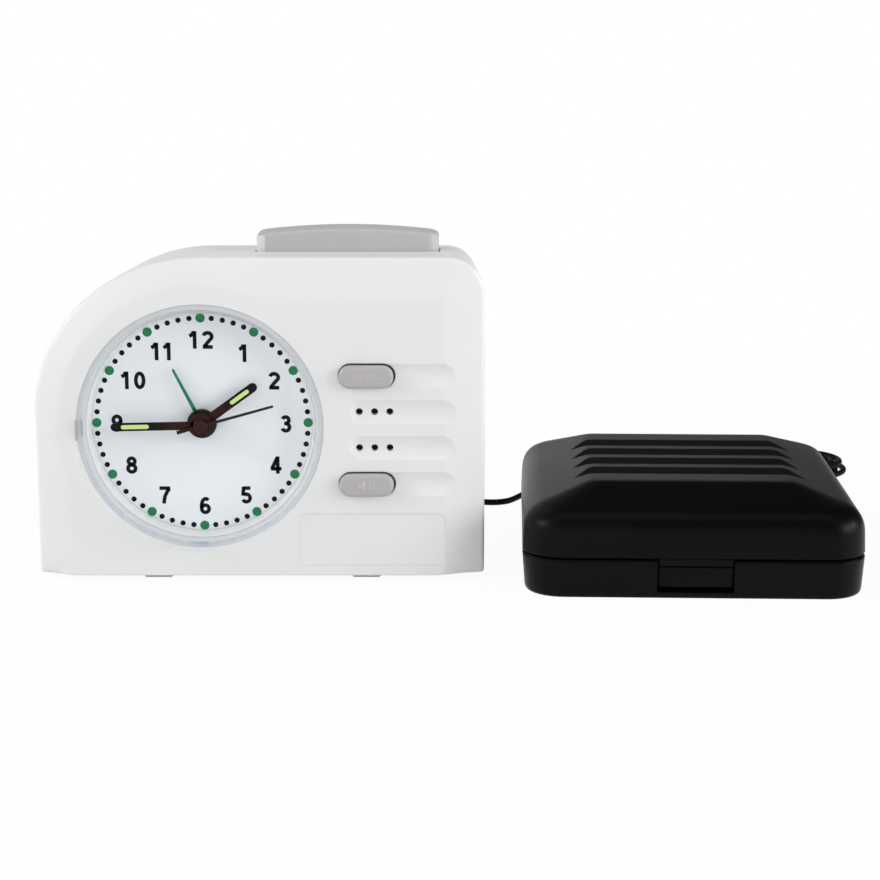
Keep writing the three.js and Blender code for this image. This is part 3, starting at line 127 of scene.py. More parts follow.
# %% Node trees
class NodeTree:
    """A node tree of a material or of the world, which makes and links its nodes."""

    def __init__(self, tree):
        self.tree = tree

    def feed(self, socket, value):
        if isinstance(value, Value):
            self.tree.links.new(value.socket, socket)
        else:
            socket.default_value = value

    def node(self, kind, settings=None, inputs=None, out=0):
        made = self.tree.nodes.new(kind)
        for key, value in (settings or {}).items():
            setattr(made, key, value)
        for key, value in (inputs or {}).items():
            self.feed(made.inputs[key], value)
        return Value(self, made.outputs[out])

    def place(self):
        return self.node("ShaderNodeTexCoord", out="Object")

    def along(self, axis, spot=None):
        """How far a place lies along X, Y or Z."""
        return self.node("ShaderNodeSeparateXYZ", None, {0: spot or self.place()}, out=axis)

    def from_dial_axis(self):
        """How far a place is from the axis that the hands turn on, in metres."""
        axis = clock_zero + Vector((DIAL_X, 0, DIAL_Z)) * MM
        spot = self.node("ShaderNodeVectorMath", {"operation": "MULTIPLY"}, {0: self.place(), 1: (1, 0, 1)})
        ends = {0: spot, 1: (axis.x, 0, axis.z)}
        return self.node("ShaderNodeVectorMath", {"operation": "DISTANCE"}, ends, out="Value")

    def noise(self, size_mm, detail, roughness=0.55):
        look = {"Scale": 1 / (size_mm * MM), "Detail": detail, "Roughness": roughness}
        return self.node("ShaderNodeTexNoise", None, {"Vector": self.place(), **look})

    def ramp(self, value, low, high, first=0.0, last=1.0):
        """A soft change from first to last while the value goes from low to high."""
        ends = {"Value": value, "From Min": low, "From Max": high, "To Min": first, "To Max": last}
        return self.node("ShaderNodeMapRange", {"interpolation_type": "SMOOTHSTEP"}, ends)

    def mix(self, share, first, second):
        settings = {"data_type": "RGBA", "clamp_factor": True}
        return self.node("ShaderNodeMix", settings, {0: share, 6: first, 7: second}, out=2)


# %% [markdown]
# A finish is a material with one Principled shader. What is the same all over is set on the shader's own
# sockets. What changes over the piece is fed in by nodes: a tint of the colour, the gloss, and a fine
# relief, which can start from a Bevel node, because a mould never has quite sharp corners.

# %% Finishes
class Finish(NodeTree):
    """A material with one Principled shader and the nodes that feed it."""

    def __init__(self, name, color, roughness, metallic=0.0, specular=0.5):
        self.material = bpy.data.materials.new(name)
        self.material.use_nodes = True
        super().__init__(self.material.node_tree)
        self.shader = self.tree.nodes["Principled BSDF"]
        self.color = (*color, 1.0)
        plain = {"Base Color": self.color, "Roughness": roughness, "Metallic": metallic}
        plain["Specular IOR Level"] = specular
        for key, value in plain.items():
            self.feed(self.shader.inputs[key], value)

    def tint(self, share, other):
        self.color = self.mix(share, self.color, (*other, 1.0))
        self.feed(self.shader.inputs["Base Color"], self.color)

    def rough(self, value):
        self.feed(self.shader.inputs["Roughness"], value)

    def relief(self, height, depth_mm, strength, edge_mm=0.0):
        inputs = {"Height": height, "Distance": depth_mm * MM, "Strength": strength}
        if edge_mm:
            inputs["Normal"] = self.node("ShaderNodeBevel", {"samples": 4}, {"Radius": edge_mm * MM})
        self.feed(self.shader.inputs["Normal"], self.node("ShaderNodeBump", None, inputs))

    def skin(self):
        return Value(self, self.shader.outputs[0])

    def surface(self, value):
        self.feed(self.tree.nodes["Material Output"].inputs["Surface"], value)


# %% [markdown]
# Moulded plastic is never one flat tone. The fine spark-eroded grain of the mould scatters highlights,
# and the flow of the melt leaves a barely visible drift in colour and gloss. A picture of real plastic
# would do, but noise has no seams and no end: a coarse one gives the drift, and a fine one the grain.

# %% Plastics
CLOUD_MM, CLOUD_SHADE, GRAIN_STRENGTH = 26, 0.86, 0.35


def moulded(name, color, roughness, grain_mm, grain_depth_mm, drift, edge_mm, specular=0.5):
    finish = Finish(name, color, roughness, specular=specular)
    cloud = finish.noise(CLOUD_MM, detail=2)
    grain = finish.noise(grain_mm, detail=4)
    finish.tint(cloud * drift, tuple(tone * CLOUD_SHADE for tone in color))
    finish.rough(roughness - 0.05 + 0.06 * cloud + 0.06 * grain)
    finish.relief(grain, grain_depth_mm, GRAIN_STRENGTH, edge_mm)
    return finish


white_abs = moulded("white_abs", (0.775, 0.775, 0.768), 0.42, 0.5, 0.012, 0.22, 0.45)
grey_abs = moulded("grey_abs", (0.43, 0.415, 0.42), 0.46, 0.4, 0.015, 0.3, 0.3)
# painted highlight: the buttons' raised marks are a paler grey, for the light that their edges catch
pale_grey = moulded("pale_grey", (0.53, 0.505, 0.505), 0.4, 0.4, 0.01, 0.3, 0.1)
black_abs = moulded("black_abs", (0.0024, 0.0024, 0.0028), 0.34, 0.8, 0.045, 0.5, 0.5, specular=0.082)
frosted_plastic = moulded("frosted_plastic", (0.615, 0.635, 0.652), 0.5, 0.5, 0.02, 0.5, 0.5)
moulded("natural_acetal", (0.66, 0.62, 0.5), 0.5, 0.6, 0.01, 0.4, 0.1)
soft_vinyl = moulded("soft_vinyl", (0.005, 0.005, 0.0056), 0.45, 0.7, 0.02, 0.5, 0.15, specular=0.05)
moulded("switch_black", (0.014, 0.014, 0.015), 0.5, 0.5, 0.01, 0.4, 0.1)
print("plastics:", len(bpy.data.materials))

# %% [markdown]
# The dial is printed paper, the windows of the hands hold a pale green luminous paste, and the cells and
# boards inside wear a printed sleeve and a green mask. Such layers are thin: dense, faintly uneven and
# quite matt, so one blotchy noise drives their tint, gloss and relief together.

# %% Paper, inks and coats
def printed(name, color, roughness, other, size_mm, specular=0.5):
    finish = Finish(name, color, roughness, specular=specular)
    blotch = finish.noise(size_mm, detail=5)
    finish.tint(blotch * 0.6, other)
    finish.rough(roughness - 0.08 + 0.16 * blotch)
    finish.relief(blotch, 0.01, 0.3)
    return finish


printed("dial_paper", (0.88, 0.897, 0.917), 0.6, (0.855, 0.877, 0.9), 3, 0.2)
black_ink = printed("black_ink", (0.005, 0.005, 0.008), 0.55, (0.012, 0.012, 0.018), 0.4, 0.12)
green_ink = printed("green_ink", (0.022, 0.214, 0.085), 0.55, (0.03, 0.26, 0.104), 0.5, 0.15)
luminous_paste = printed("luminous_paste", (0.56, 0.75, 0.24), 0.7, (0.66, 0.82, 0.36), 0.6)
printed("cell_sleeve", (0.06, 0.065, 0.075), 0.35, (0.09, 0.095, 0.1), 6)
printed("solder_mask", (0.02, 0.13, 0.045), 0.4, (0.03, 0.17, 0.06), 2)
print("with papers and inks:", len(bpy.data.materials))

# %% [markdown]
# The hands are stamped metal under a lacquer that is thin round the hub and shows brown there, and is
# dense further out. The alarm hand's hub is painted dark green instead: painted shade, for the shadow it
# lies in behind the other hands. Two materials on one hand would leave a hard border, so each lacquer is
# one finish that changes with the distance from the dial's axis. That distance stays the same while a
# hand turns.

# %% Lacquers of the hands
BROWN = (0.029, 0.008, 0.0065)


def hand_lacquer(name, thin_coat_and_shade, dense, thin_coat_and_shade_mm, dense_mm):
    finish = Finish(name, thin_coat_and_shade, 0.38, specular=0.15)
    dense_share = finish.ramp(finish.from_dial_axis(), thin_coat_and_shade_mm * MM, dense_mm * MM)
    cloud = finish.noise(4, detail=5)
    finish.tint(dense_share + 0.3 * cloud - 0.15, dense)
    finish.rough(0.32 + 0.14 * cloud)
    finish.relief(cloud, 0.01, 0.3)
    return finish


dark_lacquer = hand_lacquer("dark_lacquer", BROWN, (0.003, 0.003, 0.0036), 6, 14)
grey_lacquer = hand_lacquer("grey_lacquer", BROWN, (0.026, 0.022, 0.023), 5, 9)
# painted shade: the alarm hand's hub is a dark green, for the shadow that it lies in
green_lacquer = hand_lacquer("green_lacquer", (0.012, 0.021, 0.014), (0.018, 0.19, 0.115), 4.2, 5.6)
print("with lacquers:", len(bpy.data.materials))

# %% [markdown]
# Screws, pins, contacts and the motor's can are drawn or rolled metal, with fine streaks and a faint
# stain from handling. A fine noise roughens the gloss and a coarse one dulls the colour in patches, which
# is enough for pieces that are seen only when a lid or a door stands open.

# %% Metals
def drawn_metal(name, color, roughness):
    finish = Finish(name, color, roughness, 1.0)
    streak = finish.noise(0.5, detail=6, roughness=0.7)
    stain = finish.noise(5, detail=2)
    finish.tint(stain * 0.4, tuple(tone * 0.75 for tone in color))
    finish.rough(roughness - 0.08 + 0.2 * streak)
    finish.relief(streak, 0.01, 0.25, 0.1)


drawn_metal("steel", (0.55, 0.56, 0.58), 0.32)
drawn_metal("brass", (0.62, 0.46, 0.16), 0.34)
drawn_metal("copper_wire", (0.55, 0.21, 0.08), 0.38)
print("with metals:", len(bpy.data.materials))

# %% [markdown]
# The crystal is a clear moulded cap. Clear plastic seen straight on is nearly invisible, and shows only
# as a faint tint and as glare at its rim, so it is a see-through shader mixed with the plastic one by
# Layer Weight. True refraction through a thin cap would be noisy at few samples and would darken the
# dial. The lower half of the cap's wall is made a little milky so that it shows paler: painted light, for
# the light that the wall catches from above.

# %% Clear plastic
GLARE_SHARE, PAINTED_LIGHT_SHARE = 0.04, 0.15
PAINTED_LIGHT_INSIDE, PAINTED_LIGHT_OUTSIDE = 32.6, 33.6
PAINTED_LIGHT_TOP, PAINTED_LIGHT_LOW = DIAL_Z - 6, DIAL_Z - 26


def clear_plastic():
    finish = Finish("clear_plastic", (0.86, 0.90, 0.94), 0.05)
    finish.rough(0.04 + 0.03 * finish.noise(20, detail=2))
    clear = finish.node("ShaderNodeBsdfTransparent", None, {"Color": (0.99, 0.995, 1.0, 1)})
    glare = finish.node("ShaderNodeLayerWeight", None, {"Blend": 0.15})
    # painted light: the lower half of the wall is made hazier, so that it shows paler
    wall = finish.ramp(finish.from_dial_axis(), PAINTED_LIGHT_INSIDE * MM, PAINTED_LIGHT_OUTSIDE * MM)
    low = finish.ramp(finish.along("Z"), PAINTED_LIGHT_TOP * MM, PAINTED_LIGHT_LOW * MM)
    share = GLARE_SHARE * glare + PAINTED_LIGHT_SHARE * wall * low
    finish.surface(finish.node("ShaderNodeMixShader", None, {0: share, 1: clear, 2: finish.skin()}))
    return finish


crystal_clear = clear_plastic()
print("all finishes so far:", len(bpy.data.materials))

# %% [markdown]
# Nearly every skin here is a loft: a stack of closed outlines with equal counts of points, joined by
# quads. A turned body is a loft of circles, and a pin is the simplest turned body. Writing the points out
# keeps full control of where the edge loops lie, which modifiers on a cube or cylinder would not.

# %% Lofts and turned bodies
def mesh_of(name, points, faces):
    mesh = bpy.data.meshes.new(name)
    mesh.from_pydata([tuple(point) for point in points], [], faces)
    shape = bmesh.new()
    shape.from_mesh(mesh)
    bmesh.ops.remove_doubles(shape, verts=shape.verts, dist=1e-5)
    bmesh.ops.recalc_face_normals(shape, faces=shape.faces)
    shape.to_mesh(mesh)
    shape.free()
    return mesh


def loft(name, rings, capped=True):
    count = len(rings[0])
    points = [point for ring in rings for point in ring]
    faces = []
    for level in range(len(rings) - 1):
        for i in range(count):
            a, b = level * count + i, level * count + (i + 1) % count
            faces.append((a, b, b + count, a + count))
    if capped:
        faces.append(tuple(range(count))[::-1])
        faces.append(tuple(range((len(rings) - 1) * count, len(rings) * count)))
    return mesh_of(name, points, faces)


def turns(steps):
    """Equal angles all the way round."""
    return [2 * math.pi * i / steps for i in range(steps)]


def turned(name, profile, middle, steps):
    """A body turned about an axis along y, from (radius, y) pairs; a radius of 0 closes it."""
    x, z = middle
    rings = []
    for radius, y in profile:
        reach = max(radius, 1e-4)
        rings.append([(x + reach * math.cos(a), y, z + reach * math.sin(a)) for a in turns(steps)])
    return loft(name, rings, profile[0] != profile[-1])


def pin(name, radius, y0, y1, middle, steps):
    return turned(name, [(0, y0), (radius, y0), (radius, y1), (0, y1)], middle, steps)


# %% [markdown]
# Outlines are lists of points in a plane. Moulded things are made of straight lines, arcs and rounded
# corners, so a few small functions that return such points are all that the outlines of this clock need.

# %% Outlines
def arc(middle_x, middle_z, wide, tall, start, end, steps):
    """Points of an elliptical arc, in degrees from +x towards +z."""
    angles = [math.radians(start + (end - start) * i / steps) for i in range(steps + 1)]
    return [(middle_x + wide * math.cos(a), middle_z + tall * math.sin(a)) for a in angles]


def pill(width, height, middle_x=0.0, middle_z=0.0, radius=None, steps=10):
    """A rectangle with round corners; without a radius its short sides are half circles."""
    radius = height / 2 if radius is None else radius
    x, z = width / 2 - radius, height / 2 - radius
    corners = [(x, -z, -90), (x, z, 0), (-x, z, 90), (-x, -z, 180)]
    outline = []
    for across, up, start in corners:
        outline += arc(middle_x + across, middle_z + up, radius, radius, start, start + 90, steps)
    return outline


def spaced(start, end, steps):
    """Points between two ends, without the ends."""
    return [tuple(Vector(start).lerp(Vector(end), i / steps)) for i in range(1, steps)]


def bend(before, corner, after, steps):
    """A rounded corner: points of a quadratic curve that starts and ends on its two legs."""
    before, corner, after = Vector(before), Vector(corner), Vector(after)
    made = []
    for i in range(steps + 1):
        t = i / steps
        made.append(before * (1 - t) ** 2 + corner * (2 * t * (1 - t)) + after * t ** 2)
    return made


# %% [markdown]
# A plate stands an outline upright and gives it a thickness along y. A prism and a round bar do the same
# along x, for hinge barrels, grooves and latches. A ribbon is a flat stroke along a line, for prints and
# marks.

# %% Plates, bars and ribbons
def plate(name, outline, y0, y1):
    return loft(name, [[(x, y, z) for x, z in outline] for y in (y0, y1)])


def slab(name, low, high):
    (x0, y0, z0), (x1, y1, z1) = low, high
    return plate(name, [(x0, z0), (x1, z0), (x1, z1), (x0, z1)], y0, y1)


def prism(name, side, x0, x1):
    return loft(name, [[(x, y, z) for y, z in side] for x in (x0, x1)])


def bar(name, radius, y, z, x0, x1, steps):
    side = [(y + radius * math.cos(a), z + radius * math.sin(a)) for a in turns(steps)]
    return prism(name, side, x0, x1)


def ribbon(points, width, front, back):
    """A thin flat stroke along points in x and z, closed all round."""
    spots = [Vector(point) for point in points]
    looped = (spots[0] - spots[-1]).length < 1e-6
    rings = []
    for i, spot in enumerate(spots):
        ahead = spots[1] if looped and i == len(spots) - 1 else spots[min(i + 1, len(spots) - 1)]
        before = spots[-2] if looped and i == 0 else spots[max(i - 1, 0)]
        along = (ahead - before).normalized()
        side = Vector((-along.y, along.x)) * width / 2
        left, right = spot + side, spot - side
        corners = ((left, front), (right, front), (right, back), (left, back))
        rings.append([(corner.x, y, corner.y) for corner, y in corners])
    return loft("ribbon", rings, not looped)


# %% [markdown]
# Holes, pockets and slots are cut with Boolean modifiers, and edges are eased with a Bevel modifier. Both
# are applied at once, so that what is left is a plain mesh. Exact Booleans cope with faces that lie in
# one plane.

# %% Cuts and eased edges
def set_up(name, mesh):
    made = bpy.data.objects.new(name, mesh)
    scene.collection.objects.link(made)
    return made


def applied(body):
    """The mesh that an object has with its modifiers; the object itself goes."""
    graph = bpy.context.evaluated_depsgraph_get()
    made = bpy.data.meshes.new_from_object(body.evaluated_get(graph))
    bpy.data.objects.remove(body)
    return made


def carve(mesh, tools, operation="DIFFERENCE"):
    """The mesh with each tool cut away, or joined on."""
    body = set_up("body", mesh)
    helpers = [set_up("tool", tool) for tool in tools]
    for helper in helpers:
        cut = body.modifiers.new("cut", "BOOLEAN")
        cut.object = helper
        cut.operation = operation
        cut.solver = "EXACT"
    made = applied(body)
    for helper in helpers:
        bpy.data.objects.remove(helper)
    return made


def eased(mesh, width, segments=3, angle=35):
    """The mesh with a rounded bevel along its sharp edges."""
    body = set_up("body", mesh)
    ease = body.modifiers.new("ease", "BEVEL")
    ease.width = width
    ease.segments = segments
    ease.limit_method = "ANGLE"
    ease.angle_limit = math.radians(angle)
    ease.use_clamp_overlap = True
    return applied(body)


# %% [markdown]
# A finished mesh is handed over as a named piece. It gets its finish and its smooth shading, rides on the
# body that carries it, and stands in for the imported nodes that it refines.

# %% Handing over a piece
def joined(name, meshes):
    shape = bmesh.new()
    for mesh in meshes:
        shape.from_mesh(mesh)
    made = bpy.data.meshes.new(name)
    shape.to_mesh(made)
    shape.free()
    return made


def piece(name, mesh, place, finish, body, nodes=(), sharp=24):
    mesh.transform(place)
    mesh.materials.clear()
    mesh.materials.append(finish.material)
    mesh.shade_smooth()
    mesh.set_sharp_from_angle(angle=math.radians(sharp))
    made = set_up(name, mesh)
    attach(made, body)
    if nodes:
        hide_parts(*nodes)
    print(name, "on", body, "with", len(mesh.polygons), "faces")
    return made


# %% [markdown]
# Most of the cord is put away as a tied hank: a flat coil of long loops in two layers, wound inwards
# below and outwards above, and drawn together at its waist by the tie. A wound shape is best written as a
# place after so many turns: each turn has two straight runs and two half-round folds.

# %% Hank
CORD_RADIUS = 1.0
CORD_FLOOR = CORD_RADIUS + 0.12
HANK = {"x": 161.8, "y": 147.0, "run": 38.0, "inner": 6.2, "step": 2.9, "loops": 3.625, "layer": 2.7}
WAIST_SHARE, CLIMB_TURNS, HANK_STEPS = 0.11, 0.125, 64
TIE = {"width": 6.0, "thick": 0.8, "gap": 0.35, "corner": 2.6, "lift": 0.05}


def smooth_step(value, low, high):
    t = min(max((value - low) / (high - low), 0.0), 1.0)
    return t * t * (3 - 2 * t)


def hank_place(turn):
    """A place on the hank after some turns: four parts a turn, two runs and two folds."""
    radius = HANK["inner"] + abs(turn - HANK["loops"]) * HANK["step"]
    share = turn - math.floor(turn + 1e-9)
    part = int(math.floor(share * 4 + 1e-9))
    along = share * 4 - part
    half = HANK["run"] / 2
    if part % 2 == 0:
        side = 1 if part == 0 else -1
        x, y = side * HANK["run"] * (along - 0.5), -side * radius
    else:
        side = 1 if part == 1 else -1
        sweep = math.pi * (along - 0.5)
        x, y = side * (half + radius * math.cos(sweep)), side * radius * math.sin(sweep)
    waist = max(0.0, 1 - (x / half) ** 2)
    y *= 1 - WAIST_SHARE * waist
    climb = smooth_step(turn, HANK["loops"] - CLIMB_TURNS, HANK["loops"] + CLIMB_TURNS) * HANK["layer"]
    z = CORD_FLOOR + climb + (TIE["thick"] + TIE["gap"]) * waist
    return Vector((HANK["x"] + x, HANK["y"] + y, z))


hank_line = [hank_place(i / HANK_STEPS) for i in range(int(2 * HANK["loops"] * HANK_STEPS) + 1)]
hank_start, hank_end = hank_line[0], hank_line[-1]
print("hank points", len(hank_line))

# %% [markdown]
# The cord is thin and limp. It leaves the plug behind the clock, drops to the table, shows for a moment
# between clock and box, and runs behind the box into the hank; its last stretch goes into the box's rear
# wall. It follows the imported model's points on a centripetal spline, which neither loops nor overshoots
# where points lie close together.

# %% Route of the cord
BOX_DEEP = 103.6
JACK_X, JACK_Z, RELIEF_Y = 35.0, 8.2, 75.9
GLAND_X, GLAND_Z, GLAND_LONG = 32, 6.8, 12
FROM_BOX = CLOCK.inverted() @ BOX


def through(points, steps=5):
    """A smooth line through points: a centripetal Catmull-Rom spline."""
    points = [Vector(point) for point in points]
    ends = [2 * points[0] - points[1], *points, 2 * points[-1] - points[-2]]
    line = [points[0]]
    for a, b, c, d in zip(ends, ends[1:], ends[2:], ends[3:]):
        t1 = math.sqrt((b - a).length)
        t2 = t1 + math.sqrt((c - b).length)
        t3 = t2 + math.sqrt((d - c).length)
        for i in range(1, steps + 1):
            t = t1 + (t2 - t1) * i / steps
            ab = a.lerp(b, t / t1)
            bc = b.lerp(c, (t - t1) / (t2 - t1))
            cd = c.lerp(d, (t - t2) / (t3 - t2))
            abc = ab.lerp(bc, t / t2)
            bcd = bc.lerp(cd, (t - t1) / (t3 - t1))
            line.append(abc.lerp(bcd, (t - t1) / (t2 - t1)))
    return line


to_clock = [
    (JACK_X, RELIEF_Y - 1, JACK_Z), (JACK_X, RELIEF_Y + 4, JACK_Z - 0.2),
    (JACK_X + 0.6, RELIEF_Y + 9, JACK_Z - 1.8), (JACK_X + 3.2, RELIEF_Y + 15, JACK_Z - 4.6), (44, 97.2, 2),
]
on_floor = [
    (51, 99.2), (58, 98), (64, 95.4), (69.5, 93.8), (74.2, 95.4), (77.4, 99.8), (80.2, 105.2),
    (84.6, 110.6), (92, 114.6), (102, 116.8), (113, 119.4), (124, 123.2), (133.4, 127.2),
    (hank_start.x - 4, hank_start.y),
]
to_clock += [(x, y, CORD_FLOOR) for x, y in on_floor]
to_clock.append(hank_start)
gland_ahead = FROM_BOX @ Vector((GLAND_X, BOX_DEEP + GLAND_LONG + 5, GLAND_Z))
gland_end = FROM_BOX @ Vector((GLAND_X, BOX_DEEP + GLAND_LONG - 1, GLAND_Z))
to_box = [
    hank_end, hank_end + Vector((2.5, 0, 0)), hank_end + Vector((6, -2, -0.6)),
    (hank_end.x + 7.2, hank_end.y - 6.5, CORD_FLOOR + 0.8), (hank_end.x + 5, hank_end.y - 12, CORD_FLOOR),
    (hank_end.x - 1, hank_end.y - 17, CORD_FLOOR), (hank_end.x - 9, hank_end.y - 20.5, CORD_FLOOR + 0.4),
    (gland_ahead.x + 1.6, gland_ahead.y + 5, gland_ahead.z - 2), gland_ahead, gland_end,
]
cord_line = through(to_clock)[:-1] + hank_line + through(to_box)[1:]
cord_line = [CLOCK @ point for point in cord_line][::-1]
cord_length = sum((b - a).length for a, b in zip(cord_line, cord_line[1:]))
print("cord length", round(cord_length, 3))

# %% [markdown]
# The cord itself is one curve with a round bevel, not a mesh tube: its length can be measured along one
# spline, and its thickness is a single number.

# %% Cord
cord_data = bpy.data.curves.new("thin_cord", "CURVE")
cord_data.dimensions = "3D"
cord_data.bevel_depth = CORD_RADIUS * MM
cord_data.bevel_resolution = 4
cord_data.use_fill_caps = True
spline = cord_data.splines.new("POLY")
spline.points.add(len(cord_line) - 1)
for point, spot in zip(spline.points, cord_line):
    point.co = (*spot, 1)
spline.use_smooth = True
cord_data.materials.append(soft_vinyl.material)
cord = set_up("thin_cord", cord_data)
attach(cord, ROOT)
print("cord points", len(cord_line))

# %% [markdown]
# The plug's grip and the box's strain relief are soft vinyl too. Both are turned bodies: the grip has a
# few moulded rings for the fingers and tapers to the cord, and the strain relief is the usual ribbed
# cone. Loops write the rings, because each is the one before it, moved on and made a little slimmer.

# %% Plug and strain relief
grip_profile = [(0, 51.9), (3.5, 51.9), (4.0, 52.4)]
for ring in range(4):
    y = 55 + ring * 2.2
    grip_profile += [(4.0, y), (3.55, y + 0.35), (3.55, y + 0.85), (4.0, y + 1.2)]
grip_profile += [(4.0, 64), (3.6, 65.2), (3.0, 65.9), (2.3, 71), (1.7, RELIEF_Y), (0, RELIEF_Y)]
grip_mesh = turned("plug_grip", grip_profile, (JACK_X, JACK_Z), 48)
plug_grip = piece("plug_grip", grip_mesh, CLOCK, soft_vinyl, ROOT, ["cord_plug"])

relief_profile = [(0, 99.8), (4.0, 99.8), (4.0, 101.1), (3.0, 101.1), (3.0, 103.9)]
for ring in range(5):
    y, outer = 104.4 + ring * 2.1, 3.0 - 0.24 * ring
    inner = outer - 0.55
    relief_profile += [(outer, y), (outer - 0.05, y + 1.1), (inner, y + 1.3), (inner, y + 1.8)]
relief_profile += [(1.7, 115.0), (1.7, 115.6), (0, 115.6)]
relief_mesh = turned("strain_relief", relief_profile, (GLAND_X, GLAND_Z), 40)
piece("strain_relief", relief_mesh, BOX, soft_vinyl, ROOT, ["cord_grommet"])

# %% [markdown]
# The tie is a flat band wrapped once round the hank's waist. Its section is a small rectangle that is
# swept round a rounded outline, so the loft runs through four copies of that outline and back to the
# first.

# %% Tie
hank_outer = HANK["inner"] + HANK["loops"] * HANK["step"]
tie_half = hank_outer * (1 - WAIST_SHARE) + CORD_RADIUS + TIE["gap"]
tie_top = CORD_FLOOR + HANK["layer"] + TIE["thick"] + CORD_RADIUS + 2 * TIE["gap"]
tie_outlines = []
for out in (0.0, TIE["thick"]):
    tall = tie_top - TIE["lift"] - TIE["thick"] + 2 * out
    middle_z = (tie_top + TIE["lift"] + TIE["thick"]) / 2
    tie_outlines.append(pill(2 * (tie_half + out), tall, HANK["y"], middle_z, TIE["corner"] + out, 8))
tie_sections = []
for side, level in [(-1, 0), (-1, 1), (1, 1), (1, 0), (-1, 0)]:
    x = HANK["x"] + side * (TIE["width"] / 2)
    tie_sections.append([(x, y, z) for y, z in tie_outlines[level]])
tie_mesh = loft("hank_tie", tie_sections, capped=False)
tie_band = piece("hank_tie", tie_mesh, CLOCK, soft_vinyl, ROOT, ["cord_tie"])
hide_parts("cord_to_clock", "cord_hank", "cord_to_box")

# %% [markdown]
# The case outline has one broad elliptical shoulder over the dial and one small round corner. Its rim
# slopes back from a flat panel, which is a disc round the crystal joined to a rectangle. A bevel could
# not follow two such different outlines. So each outline point is paired with the panel's edge on the
# same ray from a middle point, and the line between them is rounded at both ends.

# %% Case outlines
HALF, TOP, FOOT = 65.0, 94.5, 1.8
SHOULDER_WIDE, SHOULDER_TALL = 48.0, 45.5
CORNER, TOE = 11.0, 0.9
DRAFT, RIM_FALL, SEAM, DEPTH, WALL = 0.042, 3.0, 40.0, 51.0, 2.2
PANEL_RADIUS = 41.3
PANEL_LEFT, PANEL_RIGHT, PANEL_TOP = -55.0, 53.4, 83.3
MIDDLE = Vector((0.0, 45.0))


def case_outline(inset=0.0, floor_inset=0.0):
    toe = max(TOE - inset, 0.4)
    left, right, low = -HALF + inset, HALF - inset, FOOT + floor_inset
    wide, tall = SHOULDER_WIDE - inset, SHOULDER_TALL - inset
    toe_right = arc(right - toe, low + toe, toe, toe, -90, 0, 6)
    corner = arc(HALF - CORNER, TOP - CORNER, CORNER - inset, CORNER - inset, 0, 90, 20)
    shoulder = arc(SHOULDER_WIDE - HALF, TOP - SHOULDER_TALL, wide, tall, 90, 180, 56)
    toe_left = arc(left + toe, low + toe, toe, toe, 180, 270, 6)
    outline = toe_right + spaced(toe_right[-1], corner[0], 18) + corner
    outline += spaced(corner[-1], shoulder[0], 16) + shoulder
    outline += spaced(shoulder[-1], toe_left[0], 12) + toe_left
    return outline + spaced(toe_left[-1], toe_right[0], 30)


def reach_of_block(ray, left, right, low, high):
    """How far a ray from the middle point runs inside a rectangle."""
    reaches = []
    for value, start, near, far in ((ray.x, MIDDLE.x, left, right), (ray.y, MIDDLE.y, low, high)):
        if abs(value) > 1e-9:
            reaches.append(((far if value > 0 else near) - start) / value)
    return min(reaches)


def panel_edge(point):
    """The panel's edge on the ray to an outline point, and that ray."""
    away = Vector(point) - MIDDLE
    ray = away.normalized()
    offset = MIDDLE - Vector((DIAL_X, DIAL_Z))
    along = offset.dot(ray)
    disc = -along + math.sqrt(along ** 2 - offset.length_squared + PANEL_RADIUS ** 2)
    strip = reach_of_block(ray, PANEL_LEFT, PANEL_RIGHT, FOOT, DIAL_Z)
    field = reach_of_block(ray, DIAL_X, PANEL_RIGHT, FOOT, PANEL_TOP)
    return MIDDLE + ray * min(max(disc, strip, field), away.length - 0.01), ray


print("outline points", len(case_outline()))

# %% [markdown]
# Seen from the side, the case runs flat along the panel, turns over the rim with a crisp crease, rounds
# into the side and goes back with a little draft. The loft's levels are the points of these lines, so the
# crease is in the mesh itself and catches the light from every angle.

# %% Case profiles
PANEL_MARGIN = 4
PANEL_EASE, FLAT_EASE, SIDE_EASE = 0.5, 1.2, 1.5
PANEL_EASE_SHARE, SIDE_EASE_SHARE = 0.42, 0.3


def rim_fall(point):
    """How far the outer edge lies behind the panel: less along the bottom, where the rim runs out."""
    x, z = point
    if z > FOOT + TOE:
        return RIM_FALL
    beyond = max(PANEL_LEFT - x, x - PANEL_RIGHT, 0.0)
    return RIM_FALL * min(1.0, beyond / (HALF + PANEL_LEFT - TOE))


def case_profiles(rear):
    """For each outline point, the line from the flat panel over the rim and back along the side."""
    drawn_in = case_outline((rear - RIM_FALL) * DRAFT)
    profiles = []
    for outer, back in zip(case_outline(), drawn_in):
        edge, ray = panel_edge(outer)
        flat = edge - ray * PANEL_MARGIN
        q, p = Vector((edge.x, 0, edge.y)), Vector((outer[0], rim_fall(outer), outer[1]))
        b = Vector((back[0], rear, back[1]))
        inner = Vector((flat.x, 0, flat.y))
        slope, side = p - q, (b - p).normalized()
        first = min(PANEL_EASE, slope.length * PANEL_EASE_SHARE)
        second = min(SIDE_EASE, slope.length * SIDE_EASE_SHARE)
        start = q + (inner - q).normalized() * min(FLAT_EASE, 2 * first)
        line = [inner, *bend(start, q, q + slope.normalized() * first, 5)]
        line += bend(p - slope.normalized() * second, p, p + side * SIDE_EASE, 6)
        line += [p + side * 6, p.lerp(b, 0.5), b]
        profiles.append(line)
    return profiles


def level_rings(profiles):
    return [[line[level] for line in profiles] for level in range(len(profiles[0]))]


front_shell = loft("front_shell", level_rings(case_profiles(SEAM)))
print("front shell faces", len(front_shell.polygons))

